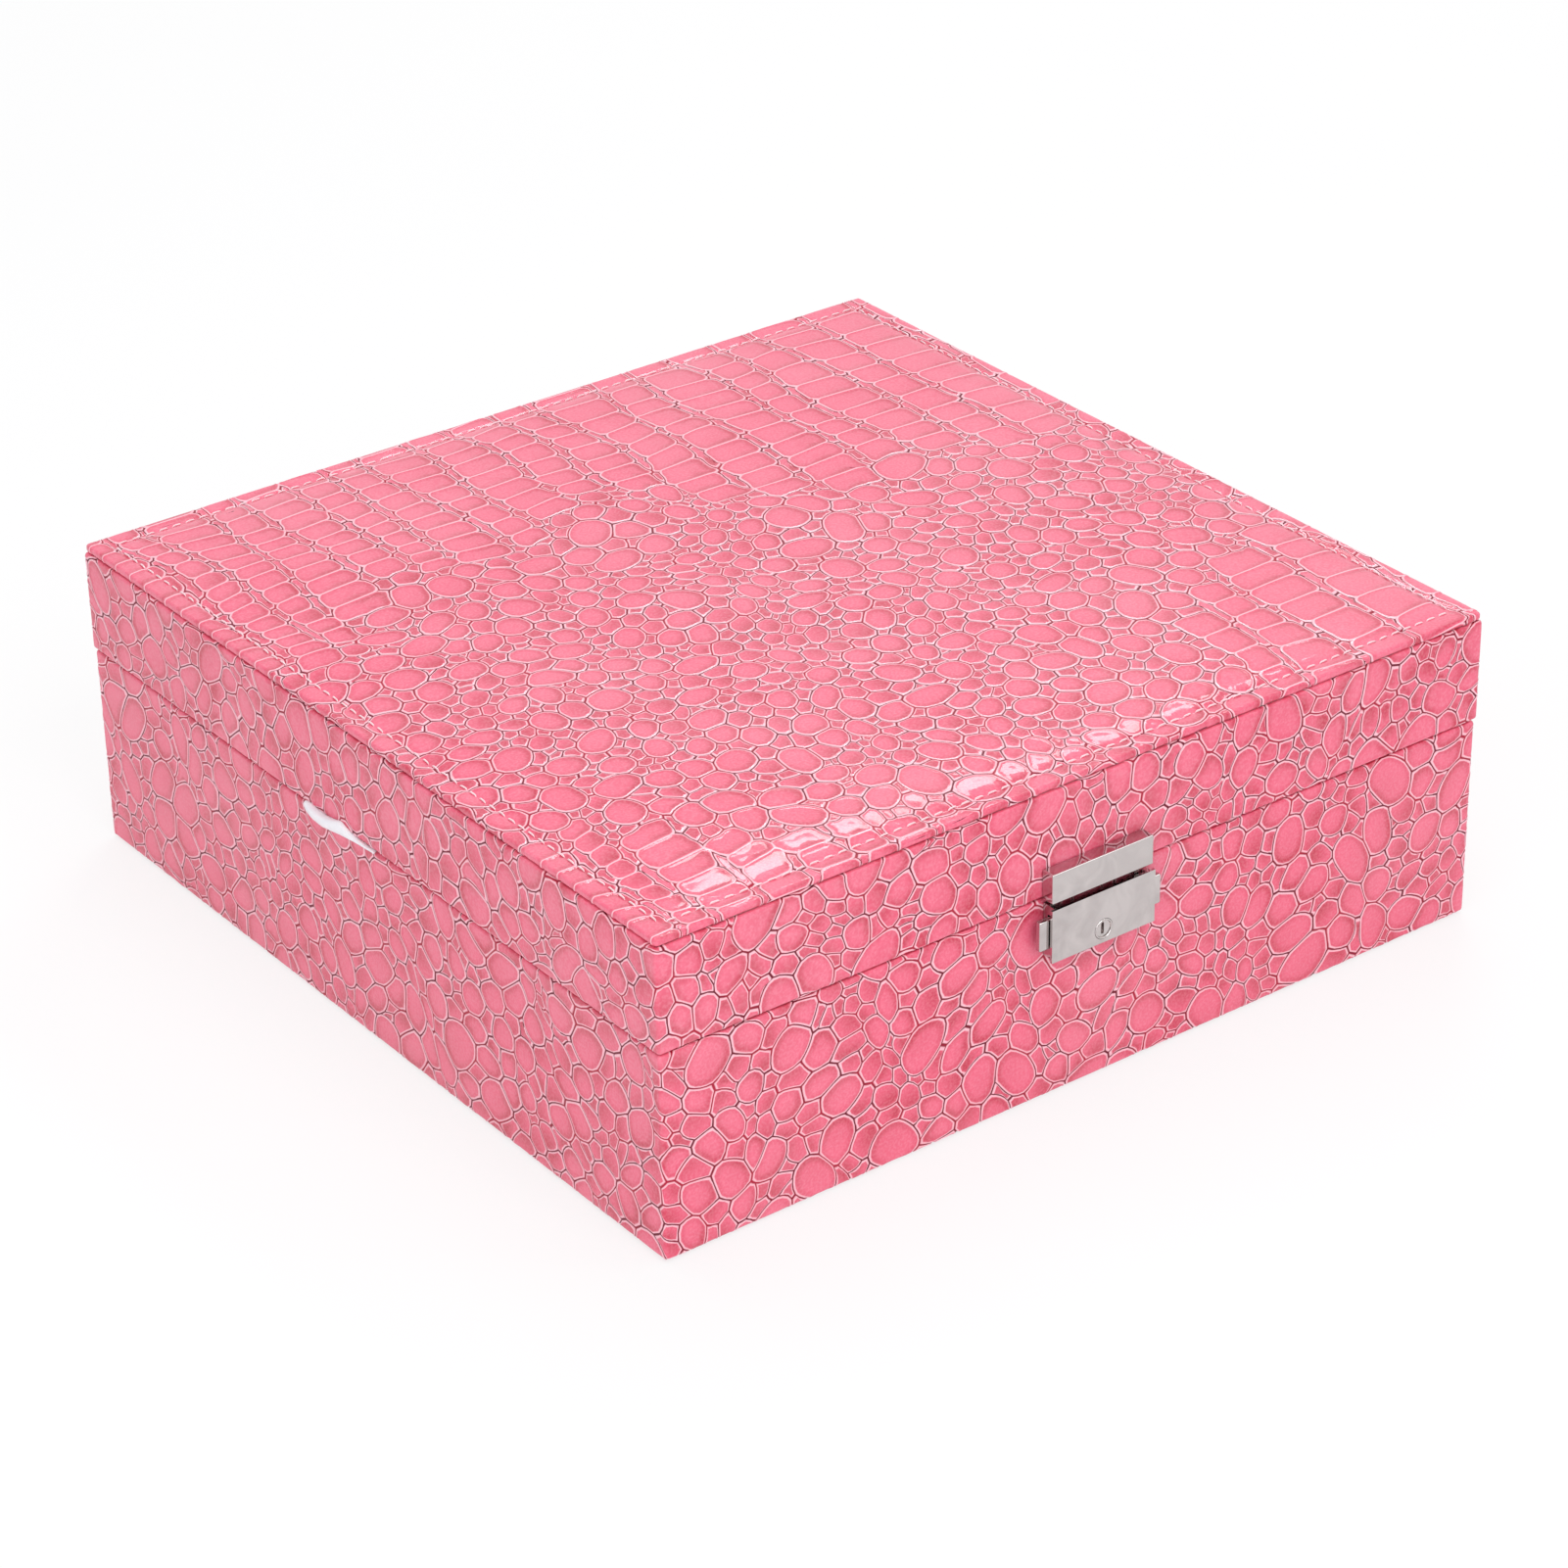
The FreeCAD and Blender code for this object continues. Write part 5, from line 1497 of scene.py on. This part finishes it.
class CASE_OT_tray(bpy.types.Operator):
    """Cover the lift-out tray with velvet, fill its ring section with rolls and sew in its two pull tabs"""

    bl_idname = "case.tray"
    bl_label = "Tray"

    def execute(self, context):
        lining = context.scene.case_lining
        pile = velvet(lining)
        for node in ("tray_floor", "tray_front_wall", "tray_rear_wall", "tray_left_wall", "tray_right_wall",
                     "tray_main_divider", "tray_cross_dividers"):
            softened(node, pile, lining.velvet_edge, 3)
        self.rolls(pile)
        ribbon = satin(lining)
        self.left_tab(ribbon)
        self.right_tab(ribbon)
        return {"FINISHED"}

    def rolls(self, pile):
        """A row of soft rolls that hold rings between them, drawn in and rounded at both ends."""
        low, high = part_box("ring_rolls")
        pitch, gap = 13.0 * MM, 0.4 * MM
        count = max(1, round((high[1] - low[1] + gap) / pitch))
        points, faces = [], []
        around, along = 20, 40
        # How far in from its ends a roll is drawn in, its size there, its unevenness and its sole's width.
        end_reach, end_size, uneven, sole = 3.0 * MM, 0.75, 0.012, 0.92
        radius = (high[1] - low[1] - (count - 1) * gap) / count / 2
        straight = high[2] - low[2] - radius
        for k in range(count):
            middle = low[1] + radius + k * (2 * radius + gap)
            faces += tube(len(points), along + 1, around + 3)
            for i in range(along + 1):
                t = i / along
                x = low[0] + (high[0] - low[0]) * (0.5 - 0.5 * math.cos(math.pi * t))
                end = min(x - low[0], high[0] - x) / end_reach
                pinch = math.sqrt(max(0.0, 1 - (1 - min(1.0, end)) ** 2))
                draw = end_size + (1 - end_size) * pinch
                slack = 1 - uneven * math.sin(7 * math.pi * t + k)
                for j in range(around + 1):
                    angle = math.pi * j / around
                    y = middle + radius * draw * slack * math.cos(angle)
                    points.append((x, y, low[2] + draw * (straight + radius * slack * math.sin(angle))))
                for side in (-1, 1):
                    points.append((x, middle + side * radius * draw * sole, low[2]))
        thing = seated(tidied(built("ring_rolls_velvet", points, faces, pile), 60), "ring_rolls")

    def strip(self, name, rows, thickness, material, cut, wall):
        """A ribbon through rows of points, one row for each place across its width. Cut is its flat size, and
        wall the part that it is sewn to; neither is used."""
        middle = np.array(rows)
        along = np.gradient(middle, axis=1)
        across = np.gradient(middle, axis=0)
        normal = np.cross(along, across)
        normal /= np.linalg.norm(normal, axis=2, keepdims=True) + 1e-12
        sides = [(middle + side * thickness / 2 * normal).reshape(-1, 3) for side in (1, -1)]
        points, faces = np.concatenate(sides), slab(*middle.shape[:2])
        thing = tidied(built(name, points * MM, faces, material), 50)
        return thing

    def left_tab(self, material):
        """A ribbon sewn to the tray's wall and shut in the seam, so that its fold stands out of the case's
        side. Places are in millimetres in the closed case."""
        low, high = (np.array(corner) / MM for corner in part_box("left_pull_tab"))
        wall, seam_z, mouth, thickness = -121.75, 57.75, -130.0, 0.14
        front, rear, foot, hem = -6.5, 18.5, 44.6, 0.1
        # The turn from the wall into the seam, its two layers there, where they begin, and the fold's bulge.
        below, out, over, under = 0.6, 0.45, 0.07, 0.09
        settled, gape, tail, past, bulge = 0.8, 0.9, 2.5, 0.1, 0.8
        # Along the fold from front to rear: how far it hangs, rises and stands out.
        shares = (0, 0.25, 0.4, 0.48, 0.58, 0.72, 0.86, 0.95, 1)
        fold = (
            (0.15, 0.5, 1.0, 1.4, 2.0, 2.7, 2.5, 1.8, 0.8),
            (0.15, 0.45, 1.5, 2.3, 1.4, 0.8, 0.9, 1.3, 0.9),
            (0.25, 0.8, 1.2, 1.3, 1.5, 1.8, 1.7, 1.3, 0.8),
        )
        rows = []
        for t in np.linspace(0, 1, 33):
            y_in, y_out = front + (rear - front) * t, low[1] + hem + (high[1] - low[1] - 2 * hem) * t
            lower, upper, reach = (float(np.interp(t, shares, values)) for values in fold)
            line = [(wall, foot + (seam_z - below - foot) * s) for s in np.linspace(0, 1, 8)]
            line += [(wall - out * (1 - math.cos(a)), seam_z - below + (below + over) * math.sin(a))
                     for a in np.linspace(0, QUARTER, 9)[1:]]
            line += [(x, seam_z + over) for x in np.linspace(wall - settled, mouth + gape, 8)]
            for a in np.linspace(QUARTER, -QUARTER, 17):
                rise = upper if a > 0 else lower
                line.append((mouth - past - reach * math.cos(a) ** bulge, seam_z + rise * math.sin(a)))
            line += [(x, seam_z - under) for x in np.linspace(mouth + gape, wall - tail, 8)]
            row = []
            for x, z in line:
                share = min(1.0, max(0.0, (wall - x) / (wall - mouth)))
                row.append((x, y_in + (y_out - y_in) * share ** 2, z))
            rows.append(row)
        cut = (28.3 * MM, 32.7 * MM)
        thing = self.strip("left_tab_ribbon", rows, thickness, material, cut, "tray_left_wall")
        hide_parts("left_pull_tab")
        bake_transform(thing)

    def right_tab(self, material):
        """A ribbon folded over the tray's right wall."""
        low, high = (np.array(corner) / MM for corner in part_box("right_pull_tab"))
        # The ribbon's thickness, its middle's distance from its outside, the fold's radius and the loose end.
        thickness, half, turn, slack, sag, waves = 0.28, 0.15, 0.5, 0.12, 0.25, 2.2
        inner, outer, top, foot = low[0] + half, high[0] - half, high[2] - half, low[2]
        rows = []
        for t in np.linspace(0, 1, 17):
            y = low[1] + (high[1] - low[1]) * t
            sway = math.sin(waves * math.pi * t)
            hang = sag * sway
            line = [(outer, foot + (top - turn - foot) * s) for s in np.linspace(0, 1, 8)]
            line += [(outer - turn * (1 - math.cos(a)), top - turn * (1 - math.sin(a)))
                     for a in np.linspace(0, QUARTER, 6)[1:]]
            line += [(x, top) for x in np.linspace(outer - turn, inner + turn, 5)[1:]]
            line += [(inner + turn * (1 - math.sin(a)), top - turn * (1 - math.cos(a)))
                     for a in np.linspace(0, QUARTER, 6)[1:]]
            line += [(inner - slack * (1 + sway) * s ** 2, top - turn - (top - turn - foot) * s)
                     for s in np.linspace(0, 1, 12)[1:]]
            rows.append([(x, y, z + (hang if k == len(line) - 1 else 0)) for k, (x, z) in enumerate(line)])
        cut = (25.0 * MM, 27.2 * MM)
        thing = self.strip("right_tab_ribbon", rows, thickness, material, cut, "tray_right_wall")
        seated(thing, "right_pull_tab")


class CASE_OT_boards(bpy.types.Operator):
    """Give every part of the frame the finish of its material, boards and card among them"""

    bl_idname = "case.boards"
    bl_label = "Boards"

    def execute(self, context):
        leather, hardware, lining = (
            context.scene.case_leather, context.scene.case_hardware, context.scene.case_lining,
        )
        finishes = {
            "fibreboard": pressed_fibreboard(),
            "card": grey_card(),
            "embossed_leather": embossed_leather(leather),
            "chrome": polished_chrome(hardware),
            "plated_steel": zinc_plate(hardware),
            "foam": open_foam(),
            "velvet": velvet(lining),
            "felt": pressed_felt(lining),
            "satin_ribbon": satin(lining),
            "mirror": silvered_glass(),
        }
        for part in frame["record"]["subparts"]:
            thing = frame["nodes"][part["node"]]
            for place in thing.material_slots:
                place.link = "OBJECT"
                place.material = finishes[part["material_slot"]]
        return {"FINISHED"}


class CASE_PT_panel(bpy.types.Panel):
    """Settings and pieces of the case"""

    bl_idname = "CASE_PT_panel"
    bl_label = "Jewellery case"
    bl_space_type = "VIEW_3D"
    bl_region_type = "UI"
    bl_category = "Case"

    def draw(self, context):
        for name in SETTINGS:
            group = getattr(context.scene, name)
            box = self.layout.box()
            for key in group.bl_rna.properties.keys():
                if key not in ("rna_type", "name"):
                    box.prop(group, key)
        for item in OPERATORS:
            self.layout.operator(item.bl_idname)


class CASE_OT_stage(bpy.types.Operator):
    """Set up the floor, the light and the camera"""

    bl_idname = "case.stage"
    bl_label = "Stage"

    def execute(self, context):
        stage = context.scene.case_stage
        half, sunk = 6, 0.1 * MM
        corners = [(x * half, y * half, -sunk) for x, y in ((-1, -1), (1, -1), (1, 1), (-1, 1))]
        floor = built("floor", corners, [(0, 1, 2, 3)], studio_floor(stage))
        context.scene.view_settings.view_transform = "Standard"
        self.world(context)
        self.lamps(context)
        self.camera(context, stage)
        return {"FINISHED"}

    def world(self, context):
        """White to the camera and in reflections, soft grey light on the object."""
        world = bpy.data.worlds.new("studio")
        context.scene.world = world
        world.use_nodes = True
        tree = world.node_tree
        tree.nodes.clear()
        glow = add(tree, "ShaderNodeBackground", {"Color": linear("#FFFFFF"), "Strength": 1.0})
        fill = add(tree, "ShaderNodeBackground", {"Color": linear("#FDFDFF"), "Strength": 0.5})
        both = add(tree, "ShaderNodeMixShader", {0: shown(tree), 1: fill, 2: glow})
        add(tree, "ShaderNodeOutputWorld", {"Surface": both})

    def lamps(self, context):
        """Five soft boxes: a key in front, a small one to its right, one on the left, one above, and a small
        one behind that glints on the panel. Each is a name, a place, a power and two sizes."""
        target = Vector((0, 0, 0.05))
        for name, place, power, wide, tall in (
            ("key", (-0.2, -1.35, 1.25), 9.8, 1.0, 1.0),
            ("edge", (1.0, -0.94, 1.35), 1.2, 0.4, 0.4),
            ("side", (-1.25, -0.8, 0.9), 6.7, 1.0, 1.0),
            ("top", (0.1, 0.3, 1.9), 10.8, 1.5, 1.5),
            ("glint", (0.77, 0.69, 1.05), 2.4, 0.46, 0.16),
        ):
            light = bpy.data.lights.new(name, "AREA")
            light.energy = power
            light.shape = "RECTANGLE"
            light.size = wide
            light.size_y = tall
            lamp = bpy.data.objects.new(name, light)
            context.scene.collection.objects.link(lamp)
            lamp.location = place
            aim = target - Vector(place)
            lamp.rotation_euler = aim.to_track_quat("-Z", "Y").to_euler()

    def camera(self, context, stage):
        """The camera at the photograph's angle, its lens set for a square picture."""
        data = bpy.data.cameras.new("camera")
        data.lens = stage.lens
        data.sensor_width = 36.0
        camera = bpy.data.objects.new("camera", data)
        context.scene.collection.objects.link(camera)
        right, up, back = (
            (0.79850, -0.60177, -0.01628), (0.30571, 0.38206, 0.87211), (-0.51859, -0.70136, 0.48904),
        )
        turned = Matrix((right, up, back)).transposed().to_4x4()
        camera.matrix_world = Matrix.Translation(stage.stand) @ turned
        context.scene.camera = camera


SETTINGS = {
    "case_leather": CaseLeather, "case_hardware": CaseHardware, "case_lining": CaseLining,
    "case_stage": CaseStage,
}
OPERATORS = (
    CASE_OT_boards, CASE_OT_leather, CASE_OT_hardware, CASE_OT_lining, CASE_OT_tray, CASE_OT_stage,
)
CLASSES = (*SETTINGS.values(), *OPERATORS, CASE_PT_panel)


def register():
    """Make the classes known and give the scene their settings."""
    for item in CLASSES:
        bpy.utils.register_class(item)
    for name, group in SETTINGS.items():
        setattr(bpy.types.Scene, name, PointerProperty(type=group))


def unregister():
    """Take the settings and the classes away again."""
    for name in SETTINGS:
        delattr(bpy.types.Scene, name)
    for item in reversed(CLASSES):
        bpy.utils.unregister_class(item)


def main():
    """Build every group of pieces in order."""
    register()
    bpy.ops.case.boards()
    bpy.ops.case.leather()
    bpy.ops.case.hardware()
    bpy.ops.case.lining()
    bpy.ops.case.tray()
    bpy.ops.case.stage()
    bpy.context.view_layer.update()


if __name__ == "__main__":
    main()
